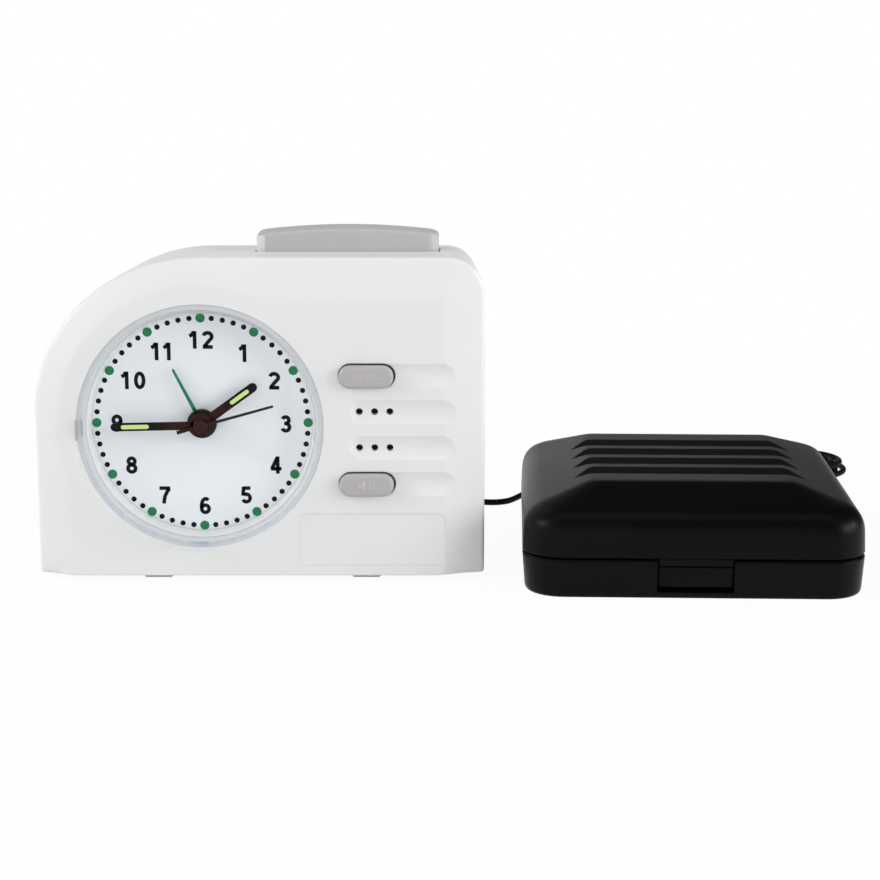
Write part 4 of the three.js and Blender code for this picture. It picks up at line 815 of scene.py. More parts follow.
# %% [markdown]
# The front case is cut by a few bodies of its own. A scoop is a shallow trough with round ends, as if a
# fingertip had drawn it; a stretched ball that stands before the panel and just dips into it cuts that
# shape with a soft edge. The cavity is the case's outline, drawn in by one wall. The snooze bar's slot is
# a plain block.

# %% Cutters of the front case
SNOOZE_X, SNOOZE_W, SNOOZE_Y0, SNOOZE_Y1 = 24.8, 53.8, 24.2, 38.0
SCOOP_LEFT, SCOOP_RIGHT, SCOOP_TALL, SCOOP_DEEP = 26, 58.6, 7.0, 0.9


def scoop(z):
    """A long trough with round ends, cut by a stretched ball that stands before the panel."""
    half = SCOOP_TALL / 2
    radius = (half ** 2 + SCOOP_DEEP ** 2) / (2 * SCOOP_DEEP)
    y, start, end = SCOOP_DEEP - radius, SCOOP_LEFT + half, SCOOP_RIGHT - half
    rings = []
    for i in range(41):
        angle = math.pi * i / 40
        x = (start if angle < math.pi / 2 else end) - radius * math.cos(angle)
        reach = max(radius * math.sin(angle), 1e-4)
        rings.append([(x, y + reach * math.cos(a), z + reach * math.sin(a)) for a in turns(96)])
        if i == 20:
            rings.append([(end, py, pz) for _, py, pz in rings[-1]])
    return loft("scoop", rings)


def cavity(y0, y1):
    """The inside of the case, one wall smaller than its outline."""
    rings = []
    for y in (y0, y1):
        inset = WALL + max(y - RIM_FALL, 0) * DRAFT
        rings.append([(x, y, z) for x, z in case_outline(inset, WALL)])
    return loft("cavity", rings)


def round_snooze(name, margin, z0, z1):
    """A block round the snooze bar."""
    half = SNOOZE_W / 2
    low = (SNOOZE_X - half - margin, SNOOZE_Y0 - margin, z0)
    return slab(name, low, (SNOOZE_X + half + margin, SNOOZE_Y1 + margin, z1))


# %% [markdown]
# The front case is the loft with these bodies and some simpler ones cut from it: a round window for the
# crystal, two slots for the buttons, six sound holes and a shallow bare recess at the lower right.
# Booleans suit this, because all cuts but one fall on a flat panel. Two block feet are set under it.

# %% Front case
BUTTON_X, BUTTON_W, BUTTON_H = 31.0, 15.8, 6.5
ROWS = [29.1 + 10.57 * row for row in range(4)]
SLIDE = 0.35
WINDOW, HOLE, HOLE_STEP = 35.5, 1, 4.4
RECESS_W, RECESS_H, RECESS_Z, RECESS_CORNER, RECESS_DEEP = 42.4, 15.3, 12.55, 2.0, 0.15
CUT_FRONT, CUT_BACK, PANEL_THICK = -2, 5, 3.4
FOOT_X, FOOT_HALF, FOOT_TOP, FOOT_EASE = 30.5, 4.2, 2.4, 0.7


def feet(y0, y1):
    """The two block feet of one half of the case."""
    made = []
    for side in (-1, 1):
        middle = side * FOOT_X
        block = slab("foot", (middle - FOOT_HALF, y0, 0), (middle + FOOT_HALF, y1, FOOT_TOP))
        made.append(eased(block, FOOT_EASE))
    return made


front_cuts = [cavity(PANEL_THICK, SEAM + 1)]
front_cuts += [scoop(z) for z in ROWS]
front_cuts.append(pin("window", WINDOW, CUT_FRONT, CUT_BACK, (DIAL_X, DIAL_Z), 128))
for z in (ROWS[0], ROWS[3]):
    slot_outline = pill(BUTTON_W + 2 * SLIDE, BUTTON_H + 2 * SLIDE, BUTTON_X, z)
    front_cuts.append(plate("slot", slot_outline, CUT_FRONT, CUT_BACK))
for z in (ROWS[1], ROWS[2]):
    for column in range(3):
        middle = (BUTTON_X + (column - 0.5) * HOLE_STEP, z)
        front_cuts.append(pin("hole", HOLE, CUT_FRONT, CUT_BACK, middle, 24))
recess_outline = pill(RECESS_W, RECESS_H, PANEL_RIGHT - RECESS_W / 2, RECESS_Z, RECESS_CORNER)
front_cuts.append(plate("low_recess", recess_outline, CUT_FRONT, RECESS_DEEP))
front_cuts.append(round_snooze("snooze_slot", SLIDE, 88, 97))
front_mesh = joined("front_skin", [carve(front_shell, front_cuts), *feet(4, 10.4)])
piece("front_skin", front_mesh, CLOCK, white_abs, ROOT, ["front_case"], sharp=22)

# %% [markdown]
# The rear case carries the outline on to the back, where its edge is rounded in the loft. The battery bay
# is a block joined to the inside. Its opening, the holes of the knobs' stems, the jack's hole and four
# screw pockets are then cut into the flat rear wall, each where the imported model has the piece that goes
# there.

# %% Rear case
SEAM_GAP, REAR_EASE, REAR_FLAT = 0.3, 2.4, 6
BAY_X, BAY_HALF, BAY_LOW, BAY_HIGH = 38.0, 15.0, 14.6, 67.1
BAY_WALL, BAY_BACK, BAY_DEEP, BAY_RIM = 1.6, 19.4, 17.8, 1.1
TIME_SPOT, ALARM_SPOT = (-5.0, 45.8), (-17.0, 32.8)
JACK_HOLE, STEM_HOLE, HOLE_FRONT, HOLE_BACK = 3.35, 1.5, 47, 53
POCKET, POCKET_FLOOR = 3.1, 49.1


def rear_profiles():
    y0, profiles = SEAM + SEAM_GAP, []
    drawn_in = (DEPTH - RIM_FALL) * DRAFT
    start = case_outline((y0 - RIM_FALL) * DRAFT)
    end = case_outline(drawn_in)
    inner = case_outline(drawn_in + REAR_EASE, REAR_EASE)
    flat = case_outline(drawn_in + REAR_FLAT, REAR_FLAT)
    for a, b, c, d in zip(start, end, inner, flat):
        front, rear = Vector((a[0], y0, a[1])), Vector((b[0], DEPTH, b[1]))
        wall = Vector((c[0], DEPTH, c[1]))
        rounded = bend(front.lerp(rear, 0.8), rear, wall, 6)
        profiles.append([front, front.lerp(rear, 0.4), *rounded, Vector((d[0], DEPTH, d[1]))])
    return profiles


def bay_block(name, margin, y0, y1):
    low = (BAY_X - BAY_HALF - margin, y0, BAY_LOW - margin)
    return slab(name, low, (BAY_X + BAY_HALF + margin, y1, BAY_HIGH + margin))


rear_shell = loft("rear_shell", level_rings(rear_profiles()))
rear_body = carve(rear_shell, [cavity(SEAM - 1, DEPTH - WALL)])
rear_body = carve(rear_body, [bay_block("bay", BAY_WALL, DEPTH - BAY_BACK, DEPTH - BAY_RIM)], "UNION")
openings = [bay_block("opening", 0, DEPTH - BAY_DEEP, DEPTH + 1)]
for radius, spot in ((JACK_HOLE, (JACK_X, JACK_Z)), (STEM_HOLE, TIME_SPOT), (STEM_HOLE, ALARM_SPOT)):
    openings.append(pin("hole", radius, HOLE_FRONT, HOLE_BACK, spot, 32))
for number in range(1, 5):
    low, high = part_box(f"case_screw_{number}")
    spot = CLOCK.inverted() @ ((Vector(low) + Vector(high)) / 2)
    openings.append(pin("pocket", POCKET, POCKET_FLOOR, HOLE_BACK, (spot.x, spot.z), 32))
rear_mesh = joined("rear_skin", [carve(rear_body, openings), *feet(40.6, 47)])
piece("rear_skin", rear_mesh, CLOCK, white_abs, ROOT, ["rear_case"])

# %% [markdown]
# The crystal is one clear moulding: a cap that stands proud of the panel, and below it a seat with a
# flange that is trapped behind the panel. The seat is frosted, so that the glue and the case's edge don't
# show through it. A finish that changed with depth would blur that border, so cap and seat are two turned
# pieces. Behind them lies the white spacer ring, whose sloped lip frames the dial.

# %% Crystal and spacer
PROUD, PROUD_INSIDE, WALL_END, SEAT = -8.0, -6.2, 0.1, 0.2


def dial_ring(name, profile, steps, finish, nodes=()):
    mesh = turned(name, profile, (DIAL_X, DIAL_Z), steps)
    piece(name, mesh, CLOCK, finish, ROOT, nodes, sharp=40)


cap_outside = [
    (0, PROUD), (24, PROUD + 0.02), (32, PROUD + 0.15), (33.4, PROUD + 0.4), (34.4, PROUD + 0.9),
    (35, PROUD + 1.6), (35.2, PROUD + 2.4), (35.2, WALL_END),
]
cap_inside = [
    (33.4, WALL_END), (33.4, PROUD_INSIDE + 0.5), (33, PROUD_INSIDE + 0.05), (24, PROUD_INSIDE),
    (0, PROUD_INSIDE),
]
dial_ring("crystal_cap", cap_outside + cap_inside, 160, crystal_clear, ["dial_crystal"])
seat_profile = [
    (33.12, 2.05), (34.1, SEAT), (35.55, SEAT), (35.55, 3.7), (37.4, 3.7), (37.4, 5.2), (33.12, 5.2),
    (33.12, 2.05),
]
dial_ring("crystal_seat", seat_profile, 160, frosted_plastic)
spacer_profile = [
    (33.1, 2.1), (33.1, 5.5), (37.4, 5.5), (37.4, 6.8), (32.05, 6.8), (32.9, 2.1), (33.1, 2.1),
]
dial_ring("spacer_ring", spacer_profile, 128, white_abs, ["dial_spacer"])

# %% [markdown]
# Small tabs on the crystal's wall snap it into the case, and show through it as grey marks at the left,
# right and bottom. Each is a flat block that is turned to its place round the dial, which is simpler than
# cutting it from the wall.

# %% Snap tabs
TAB_DEEP = 1.6


def snap_tab(degrees, radius, long, thick, front):
    """A tab at an angle round the dial, counted from its right, with its length along the rim."""
    low = (radius - thick / 2, front, -long / 2)
    tab = slab("tab", low, (radius + thick / 2, front + TAB_DEEP, long / 2))
    turn = Matrix.Rotation(math.radians(-degrees), 4, "Y")
    tab.transform(Matrix.Translation((DIAL_X, 0, DIAL_Z)) @ turn)
    return tab


snap_tabs = joined("snap_tabs", [
    snap_tab(180, 34.9, 6.0, 0.3, -4.8), snap_tab(180, 33.7, 5.0, 0.3, -1.6),
    snap_tab(270, 34.2, 2.8, 0.5, -0.6), snap_tab(0, 34.7, 4.4, 0.3, 0.6),
])
piece("snap_tabs", snap_tabs, CLOCK, grey_abs, ROOT)

# %% [markdown]
# The dial has green dots for the hours and small black ones for the minutes. They could be drawn by the
# paper's material, but as thin raised prints they stay sharp at any distance.

# %% Dots of the dial
DIAL_FACE, PRINT = 7.1, 0.04
DOT_RING, HOUR_DOT, MINUTE_DOT = 30.7, 1.36, 0.78


def on_dial(radius, hours):
    angle = 2 * math.pi * hours / 12
    return DIAL_X + radius * math.sin(angle), DIAL_Z + radius * math.cos(angle)


def dot(radius, hours):
    return pin("dot", radius, DIAL_FACE - PRINT, DIAL_FACE, on_dial(DOT_RING, hours), 28)


hour_dots = joined("hour_dots", [dot(HOUR_DOT, hour) for hour in range(12)])
piece("hour_dots", hour_dots, CLOCK, green_ink, ROOT)
minute_dots = joined("minute_dots", [dot(MINUTE_DOT, i / 5) for i in range(60) if i % 5])
piece("minute_dots", minute_dots, CLOCK, black_ink, ROOT)

# %% [markdown]
# The numerals are drawn, not typed: each figure is a few strokes of even width along arcs and lines, in a
# cell one unit high. A font would be quicker, but the strokes give the plain bold look of printed dial
# figures, and the nine is simply the six after half a turn.

# %% Figures
FIGURE_WIDE = 0.78


def six():
    spine = arc(0.42, 0.5, 0.225, 0.4, 50, 180, 14)
    return [arc(0.395, 0.315, 0.2, 0.215, 0, 360, 28), spine + [(0.195, 0.3)]]


def half_turn(strokes):
    return [[(FIGURE_WIDE - x, 1 - z) for x, z in stroke] for stroke in strokes]


FIGURES = {
    "0": [arc(0.39, 0.5, 0.21, 0.4, 90, 450, 32)],
    "1": [[(0.45, 0), (0.45, 1)], [(0.17, 0.71), (0.3, 0.79), (0.41, 0.96)]],
    "2": [
        arc(0.39, 0.685, 0.225, 0.215, 165, -25, 16) + [(0.42, 0.40), (0.2, 0.12)],
        [(0.12, 0.1), (0.66, 0.1)],
    ],
    "3": [
        arc(0.375, 0.715, 0.175, 0.185, 160, -80, 16), arc(0.375, 0.31, 0.205, 0.21, 80, -160, 18),
        [(0.29, 0.525), (0.41, 0.525)],
    ],
    "4": [[(0.46, 0.95), (0.16, 0.3)], [(0.09, 0.285), (0.68, 0.285)], [(0.475, 0), (0.475, 1)]],
    "5": [
        [(0.2, 0.9), (0.62, 0.9)], [(0.25, 0.97), (0.205, 0.46)],
        arc(0.385, 0.325, 0.205, 0.225, 132, -155, 20),
    ],
    "6": six(),
    "7": [[(0.1, 0.9), (0.69, 0.9)], [(0.65, 0.87), (0.5, 0.66), (0.39, 0.4), (0.33, 0)]],
    "8": [arc(0.39, 0.725, 0.175, 0.175, 0, 360, 26), arc(0.39, 0.305, 0.205, 0.205, 0, 360, 28)],
    "9": half_turn(six()),
}
print("figures", len(FIGURES))

# %% [markdown]
# A numeral is one or two figures on a ring inside the dots, and each stroke becomes a thin ribbon of ink.
# As on many printed dials, the numerals don't sit quite on their ring, so each may have a small nudge.
# The two ones of eleven stand closer together than other figures.

# %% Numerals
FIGURE_HEIGHT, FIGURE_STEP, FIGURE_STROKE, FIGURE_RING = 5.15, 0.76, 0.21, 24.5
FIGURE_WIDEN, FIGURE_DROP, NARROW_STEP = 1.04, 0.2, 0.66
NUDGES = {
    1: (0.0, -0.6), 2: (-0.2, 0.3), 3: (-0.25, -0.2), 4: (0.0, -0.2), 5: (0.1, -0.2), 6: (0.25, -0.1),
    7: (0.75, -0.2), 8: (0.3, -0.2), 9: (-0.3, 0.0), 10: (1.3, 0.4), 11: (0.9, -0.1),
}


def numeral(hour):
    x, z = on_dial(FIGURE_RING, hour)
    across, up = NUDGES.get(hour, (0.0, 0.0))
    x, z = x + across, z + up - FIGURE_DROP
    figures = str(hour)
    step = NARROW_STEP if hour == 11 else FIGURE_STEP
    strokes = []
    for place, figure in enumerate(figures):
        shift = (place - (len(figures) - 1) / 2) * step - FIGURE_WIDE / 2
        for stroke in FIGURES[figure]:
            spots = []
            for px, pz in stroke:
                across, up = (px + shift) * FIGURE_WIDEN, pz - 0.5
                spots.append((x + across * FIGURE_HEIGHT, z + up * FIGURE_HEIGHT))
            strokes.append(ribbon(spots, FIGURE_STROKE * FIGURE_HEIGHT, DIAL_FACE - PRINT, DIAL_FACE))
    return strokes


numerals = joined("dial_numerals", [stroke for hour in range(1, 13) for stroke in numeral(hour)])
piece("dial_numerals", numerals, CLOCK, black_ink, ROOT)

# %% [markdown]
# Each hand is a thin stamped blade with a slightly rounded edge and a round hub. Blades are built
# pointing to twelve and are then turned clockwise about the dial's axis, so that an outline is easy to
# read and the time shown is a single angle.

# %% Blades and hubs
def hand_place(degrees):
    spot = Matrix.Translation((DIAL_X, 0, DIAL_Z)) @ Matrix.Rotation(math.radians(degrees), 4, "Y")
    return CLOCK @ spot


def blade(name, outline, front, thick=0.5, round_edge=0.14):
    middle = Vector((sum(x for x, _ in outline), sum(z for _, z in outline))) / len(outline)
    rings = []
    for y, shrink in ((front + thick, 0), (front + round_edge, 0), (front, round_edge)):
        ring = []
        for x, z in outline:
            inward = (middle - Vector((x, z))).normalized() * shrink
            ring.append((x + inward.x, y, z + inward.y))
        rings.append(ring)
    return loft(name, rings)


def hub(radius, front, thick=0.5, dome=0.0):
    back = front + thick
    crown = [(0, front - dome), (radius * 0.55, front - dome * 0.8), (radius * 0.86, front - dome * 0.35)]
    return turned("hub", [*crown, (radius, front + 0.16), (radius, back), (0, back)], (0, 0), 56)


# %% [markdown]
# The hour and minute hands are broad, with luminous paste in a long window; the alarm and second hands
# are slim and taper. The paste is a thin blade of its own that stands a little proud, as the real paste
# does, so that no window has to be cut for it.

# %% Hands
def broad_hand(name, degrees, length, width, window, front, body, nodes):
    low, high, wide = window
    parts = [blade(name, pill(width, length, 0, length / 2, width / 2), front), hub(3.5, front)]
    piece(name, joined(name, parts), hand_place(degrees), dark_lacquer, body, [nodes[0]])
    paste = blade("paste", pill(wide, high - low, 0, (low + high) / 2, wide / 2), front - 0.06, 0.12, 0.05)
    piece(f"{name}_paste", paste, hand_place(degrees), luminous_paste, body, [nodes[1]])


def slim_hand(name, degrees, outline, front, hub_mesh, finish, body, node):
    parts = [blade(name, outline, front, 0.5, 0.1), hub_mesh]
    piece(name, joined(name, parts), hand_place(degrees), finish, body, [node])


broad_hand(
    "hour_blade", degrees=54.0, length=19.8, width=2.65, window=(10.5, 17.1, 1.2), front=3.9,
    body="hour", nodes=["hour_hand", "hour_hand_lume"],
)
broad_hand(
    "minute_blade", degrees=268.8, length=26.1, width=2.4, window=(15.0, 23.1, 1.25), front=2.55,
    body="minute", nodes=["minute_hand", "minute_hand_lume"],
)
alarm_outline = [(-0.6, 0), (0.6, 0), (0.32, 17.7), (0.15, 18), (-0.15, 18), (-0.32, 17.7)]
slim_hand(
    "alarm_blade", 333.1, alarm_outline, 5.25, hub(4.3, 5.25), green_lacquer,
    "alarm", "alarm_hand",
)
second_outline = [(-0.5, -7.1), (0.5, -7.1), (0.42, 0), (0.33, 21.8), (-0.33, 21.8), (-0.42, 0)]
slim_hand(
    "second_blade", 74.4, second_outline, 1.2, hub(2.0, 0.75, 0.95, 0.12), grey_lacquer,
    "second", "second_hand",
)

# %% [markdown]
# The buttons are pills with softly rounded fronts that stand proud of the panel. They hang low and left
# in their slots by the play that they have, so the dark gap shows mostly above and on the right. Raised
# marks are ribbons and plates in a paler grey than the caps, a painted highlight for the light that their
# edges catch: on the lower button a loudspeaker with two waves, a common sign for sound, and on the
# upper one a plain wave line.

# %% Buttons
BUTTON_PLAY, BUTTON_SAG, BUTTON_STEPS = 0.24, 0.18, 14
BUTTON_BACK, BUTTON_FLANGE, FLANGE_GROWS = 4.7, 3.7, 2
BUTTON_EDGE = ((3.7, 0), (-1.2, 0), (-1.62, 0.09), (-1.93, 0.3), (-2.12, 0.65), (-2.2, 1.2))
STEM, STEM_BACK = 1.5, 8.4
MARK_FRONT, MARK_BACK, MARK_STROKE = -2.26, -2.1, 0.32
WAVE_LONG, WAVE_STEP, WAVE_TALL = 8, 0.2, 0.6


def button(name, z, body, node, marks):
    wide, tall = BUTTON_W + FLANGE_GROWS, BUTTON_H + FLANGE_GROWS
    flange = pill(wide, tall, BUTTON_X, z, None, BUTTON_STEPS)
    rings = [[(x, y, up) for x, up in flange] for y in (BUTTON_BACK, BUTTON_FLANGE)]
    spot = BUTTON_X - BUTTON_PLAY, z - BUTTON_SAG
    for y, shrink in BUTTON_EDGE:
        outline = pill(BUTTON_W - 2 * shrink, BUTTON_H - 2 * shrink, *spot, None, BUTTON_STEPS)
        rings.append([(x, y, up) for x, up in outline])
    stem = pin("stem", STEM, BUTTON_BACK, STEM_BACK, (BUTTON_X, z), 20)
    cap = joined(name, [loft(name, rings), stem])
    piece(name, cap, CLOCK, grey_abs, body, [node], sharp=30)
    piece(f"{name}_mark", joined(f"{name}_mark", marks), CLOCK, pale_grey, body)


def mark(points):
    return ribbon(points, MARK_STROKE, MARK_FRONT, MARK_BACK)


def sound_mark(x, z):
    box = [(x - 2.5, z - 0.6), (x - 1.7, z - 0.6), (x - 1.7, z + 0.6), (x - 2.5, z + 0.6)]
    horn = [(x - 1.5, z - 0.6), (x - 0.5, z - 1.6), (x - 0.5, z + 1.6), (x - 1.5, z + 0.6)]
    speaker = [plate("sign", sign, MARK_FRONT, MARK_BACK) for sign in (box, horn)]
    return speaker + [mark(arc(x - 0.5, z, reach, reach, -44, 44, 10)) for reach in (1.4, 2.5)]


def wave_mark(x, z):
    line = []
    for i in range(41):
        along = i * WAVE_STEP
        line.append((x - WAVE_LONG / 2 + along, z + WAVE_TALL * math.sin(along / WAVE_LONG * 6 * math.pi)))
    return [mark(line)]


button("upper_cap", ROWS[3], "upper_push", "upper_button", wave_mark(BUTTON_X, ROWS[3]))
button("lower_cap", ROWS[0], "lower_push", "lower_button", sound_mark(BUTTON_X, ROWS[0]))

# %% [markdown]
# The snooze bar is an arched bar with rounded edges on a broad foot. A flat block that is bevelled and
# then bent would stretch its corners, so its outline seen from above is drawn in step by step, and each
# step takes its height from the arch. Its left corner is tinted paler: a painted highlight, for the light
# that a lamp on the left throws on that rounded end.

# %% Snooze bar
SNOOZE_SHOULDER, SNOOZE_CROWN, SNOOZE_LOW = 98.7, 1.7, 89.2
SNOOZE_CORNER = 3.6
SNOOZE_EDGE = ((0, 1.3), (0.1, 0.8), (0.38, 0.38), (0.8, 0.1), (1.3, 0), (3.2, 0), (5.2, 0), (6.8, 0))
HIGHLIGHT_WIDE, HIGHLIGHT_TOP, HIGHLIGHT_SOFT = 2.5, 98.3, 0.4


def thumbed_grey():
    finish = moulded("bar_grey", (0.485, 0.468, 0.472), 0.46, 0.4, 0.015, 0.3, 0.3)
    edge = clock_zero.x + (SNOOZE_X - SNOOZE_W / 2 + HIGHLIGHT_WIDE) * MM
    end = finish.ramp(finish.along("X"), edge + HIGHLIGHT_SOFT * MM, edge)
    below = finish.ramp(finish.along("Z"), HIGHLIGHT_TOP * MM, (HIGHLIGHT_TOP - HIGHLIGHT_SOFT) * MM)
    # painted highlight: the bar's left end, below its top, is tinted paler
    finish.tint(end * below, (0.635, 0.625, 0.625))
    return finish


def snooze_top(x):
    share = (x - SNOOZE_X) / (SNOOZE_W / 2)
    return SNOOZE_SHOULDER + SNOOZE_CROWN * (1 - share ** 2)


def snooze_ring(inset, drop=None):
    """The bar's outline seen from above, drawn in by an inset; its height follows the arched top."""
    middle_y, deep = (SNOOZE_Y0 + SNOOZE_Y1) / 2, SNOOZE_Y1 - SNOOZE_Y0
    radius = max(SNOOZE_CORNER - inset, 0.05)
    outline = pill(SNOOZE_W - 2 * inset, deep - 2 * inset, 0, 0, radius, 8)
    ring = []
    for corner, ahead in zip(outline, outline[1:] + outline[:1]):
        ring.append(corner)
        if abs(ahead[0] - corner[0]) > 2 * SNOOZE_CORNER:
            ring += spaced(corner, ahead, 24)
    heights = [SNOOZE_LOW if drop is None else snooze_top(SNOOZE_X + x) - drop for x, _ in ring]
    return [(SNOOZE_X + x, middle_y + y, z) for (x, y), z in zip(ring, heights)]


snooze_rings = [snooze_ring(0), *(snooze_ring(inset, drop) for inset, drop in SNOOZE_EDGE)]
snooze_parts = [loft("snooze_arch", snooze_rings), round_snooze("foot", 1, 88, 89.4)]
snooze_mesh = joined("snooze_arch", snooze_parts)
piece("snooze_arch", snooze_mesh, CLOCK, thumbed_grey(), "snooze", ["snooze_bar"], sharp=32)

# %% [markdown]
# The vibrator box is a low clamshell. Every level of it is a rounded rectangle, given by how far it is
# drawn in at the sides, front and rear. Where it is drawn in evenly, the corner's radius shrinks by as
# much. On the lid's four slopes the levels change in a straight line from the shoulder to the edge of the
# roof.

# %% Box levels
BOX_W, BOX_CORNER = 98.0, 12.0
LID_Z, ROOF_Z = 11.55, 30.1
SHOULDER_IN, SHOULDER_Z, SHOULDER_CORNER = 0.9, 24.0, 11.1
ROOF_EDGES, ROOF_CORNER = (20.0, 18.6, 17.2), 3.0


def box_ring(z, side, front, rear, radius):
    ring = []
    corners = [(1, 1, 0), (-1, 1, 90), (-1, -1, 180), (1, -1, 270)]
    for across, deep, start in corners:
        x = across * (BOX_W / 2 - side - radius)
        y = BOX_DEEP - rear - radius if deep > 0 else front + radius
        ring += [(px, py, z) for px, py in arc(x, y, radius, radius, start, start + 90, 12)]
    return ring


def even_ring(z, inset):
    return box_ring(z, inset, inset, inset, BOX_CORNER - inset)


def lid_level(share, lower=0.0):
    """A level of the lid's slopes, from the shoulder at 0 to the roof's edge at 1."""
    sides = [SHOULDER_IN + share * (inset - SHOULDER_IN) for inset in ROOF_EDGES]
    z = SHOULDER_Z + share * (ROOF_Z - SHOULDER_Z) - lower
    return box_ring(min(z, ROOF_Z), *sides, SHOULDER_CORNER + share * (ROOF_CORNER - SHOULDER_CORNER))


print("points of a box level", len(lid_level(0)))

# %% [markdown]
# The lid has a low upright wall, a broadly rounded shoulder and four slopes that rise to a flat roof with
# four grooves across it. It is a loft through such levels. The hollow and the grooves are cut afterwards,
# because a groove is deep at its front and runs out at its rear. Hinge knuckles, lugs for the latch's pin
# and a short lip over the latch are added, and overlap the lid as moulded parts do.

# %% Lid
LID_EDGE, LID_WALL_Z, LID_WALL_IN = 0.5, 17.0, 0.2
SHOULDER_START, SHOULDER_SHARE = (0.3, 18.6), 0.27
ROOF_EASE = ((0.93, 0.0), (0.975, 0.05), (1.02, 0.2), (1.07, 0.42), (1.15, 0.825))
GROOVE_Y, GROOVE_STEP, GROOVE_LONG, GROOVE_DEEP = 28.2, 13.1, 9.0, 1.6
HINGE_Y, HINGE_Z, HINGE_RADIUS = BOX_DEEP + 2.6, 11.375, 2.3


def lid_mesh():
    rings = [even_ring(LID_Z, LID_EDGE), even_ring(LID_Z + LID_EDGE, 0), even_ring(LID_WALL_Z, LID_WALL_IN)]
    inward, rise = ROOF_EDGES[0] - SHOULDER_IN, ROOF_Z - SHOULDER_Z
    slope = (SHOULDER_IN + SHOULDER_SHARE * inward, SHOULDER_Z + SHOULDER_SHARE * rise)
    for spot in bend(SHOULDER_START, (SHOULDER_IN, SHOULDER_Z), slope, 16):
        share = (spot.x - SHOULDER_IN) / inward
        if share < 0:
            rings.append(even_ring(spot.y, spot.x))
        else:
            rings.append(lid_level(share, SHOULDER_Z + share * rise - spot.y))
    rings += [lid_level(0.5), lid_level(0.8)]
    rings += [lid_level(share, lower) for share, lower in ROOF_EASE]
    return loft("lid_skin", rings)


def knuckle(x0, x1, low, high):
    """One barrel of the hinge with the arm that carries it."""
    barrel = bar("barrel", HINGE_RADIUS, HINGE_Y, HINGE_Z, x0, x1, 32)
    arm = slab("arm", (x0, BOX_DEEP - 1.1, low), (x1, HINGE_Y, high))
    return [eased(barrel, 0.2, 2), eased(arm, 0.3, 2)]


lid_cuts = [loft("lid_hollow", [
    even_ring(LID_Z - 1, 2.2), even_ring(21.4, 3.8), box_ring(25.8, 22.2, 20.8, 19.4, 2),
])]
for row in range(4):
    y = GROOVE_Y + GROOVE_STEP * row
    end, above = y + GROOVE_LONG, ROOF_Z + 0.5
    groove = [(y, ROOF_Z - GROOVE_DEEP), (end, ROOF_Z), (end, above), (y - 0.15, above)]
    lid_cuts.append(prism("groove", groove, -60, 60))
lid_parts = [carve(lid_mesh(), lid_cuts)]
for x0, x1 in ((13, 20), (-20, -13)):
    lid_parts += knuckle(x0, x1, 11.85, 16.15)
for x0, x1 in ((-8.1, -6.1), (6.1, 8.1)):
    lid_parts.append(eased(slab("lug", (x0, 3.3, 7.2), (x1, 5.8, 13.75)), 0.3, 2))
lip_side = [(0.05, 9.75), (0.18, 9.75), (0.45, 10.4), (0.95, 11.3), (1.1, 11.7), (0.05, 11.7)]
lid_parts.append(prism("lip", lip_side, -10.4, 10.4))
lid_parts.append(slab("bridge", (-8.1, 1.1, LID_Z), (8.1, 5.8, 13.75)))
lid_skin = joined("lid_skin", lid_parts)
piece("lid_skin", lid_skin, BOX, black_abs, "lid", ["vibrator_lid"], sharp=9.5)

# %% [markdown]
# The base is a tray with a rounded lower edge. A pocket is joined on inside its front wall and the
# latch's recess is cut into it, and two cradles with round saddles hold the motor. Cutting the saddles
# from plain blocks by a round bar gives them just the motor's curve.

# %% Base
FLOOR_THICK, SADDLE, MOTOR_Y, MOTOR_Z = 2.2, 8.3, 54, 11.6
base_rings = [even_ring(0, 2.4)]
base_rings += [even_ring(spot.y, spot.x) for spot in bend((1.6, 0.0), (0.7, 0.0), (0.6, 2.4), 7)]
base_rings += [even_ring(10.6, 0), even_ring(11.2, 0.5)]
tray = loft("tray", [even_ring(FLOOR_THICK, FLOOR_THICK), even_ring(12.5, FLOOR_THICK)])
base_body = carve(loft("base_skin", base_rings), [tray])
base_body = carve(base_body, [slab("pocket", (-13.05, 1.1, 1.1), (13.05, 8.8, 11.2))], "UNION")
latch_recess = slab("latch_recess", (-10.85, -1, 1.8), (10.85, 6.6, 12.5))
gland_hole = pin("gland_hole", 3.3, 100, 105, (GLAND_X, GLAND_Z), 32)
base_parts = [carve(base_body, [latch_recess, gland_hole])]
for x0, x1 in ((20.35, 27.35), (-27.35, -20.35)):
    base_parts += knuckle(x0, x1, 5.6, 10.9)
for x in (-20.0, -4.0):
    cradle = slab("cradle", (x, 46, 1.1), (x + 4, 62, 10.6))
    base_parts.append(carve(cradle, [bar("saddle", SADDLE, MOTOR_Y, MOTOR_Z, x - 1, x + 5, 40)]))
base_skin = joined("base_skin", base_parts)
piece("base_skin", base_skin, BOX, black_abs, ROOT, ["vibrator_base"], sharp=26)

# %% [markdown]
# The latch is a small flap that hangs on a pin between the lid's lugs. Its plate slopes inwards towards
# the bottom, to leave room for a fingernail, so it is a prism along x with that slope in its side view.

# %% Latch
latch_side = [(0.3, 9.4), (0.3, 7.6), (0.75, 7.25), (1.25, 3.4), (1.5, 3.1), (1.9, 3.1), (1.9, 9.4)]
latch_skin = joined("latch_skin", [
    eased(prism("latch_plate", latch_side, -10.5, 10.5), 0.25, 2, 50),
    bar("barrel", 1.4, 4.4, 8.6, -5.8, 5.8, 28), slab("web", (-5.8, 1.1, 7.2), (5.8, 4.4, 8.6)),
])
piece("latch_skin", latch_skin, BOX, black_abs, "latch", ["lid_latch"])

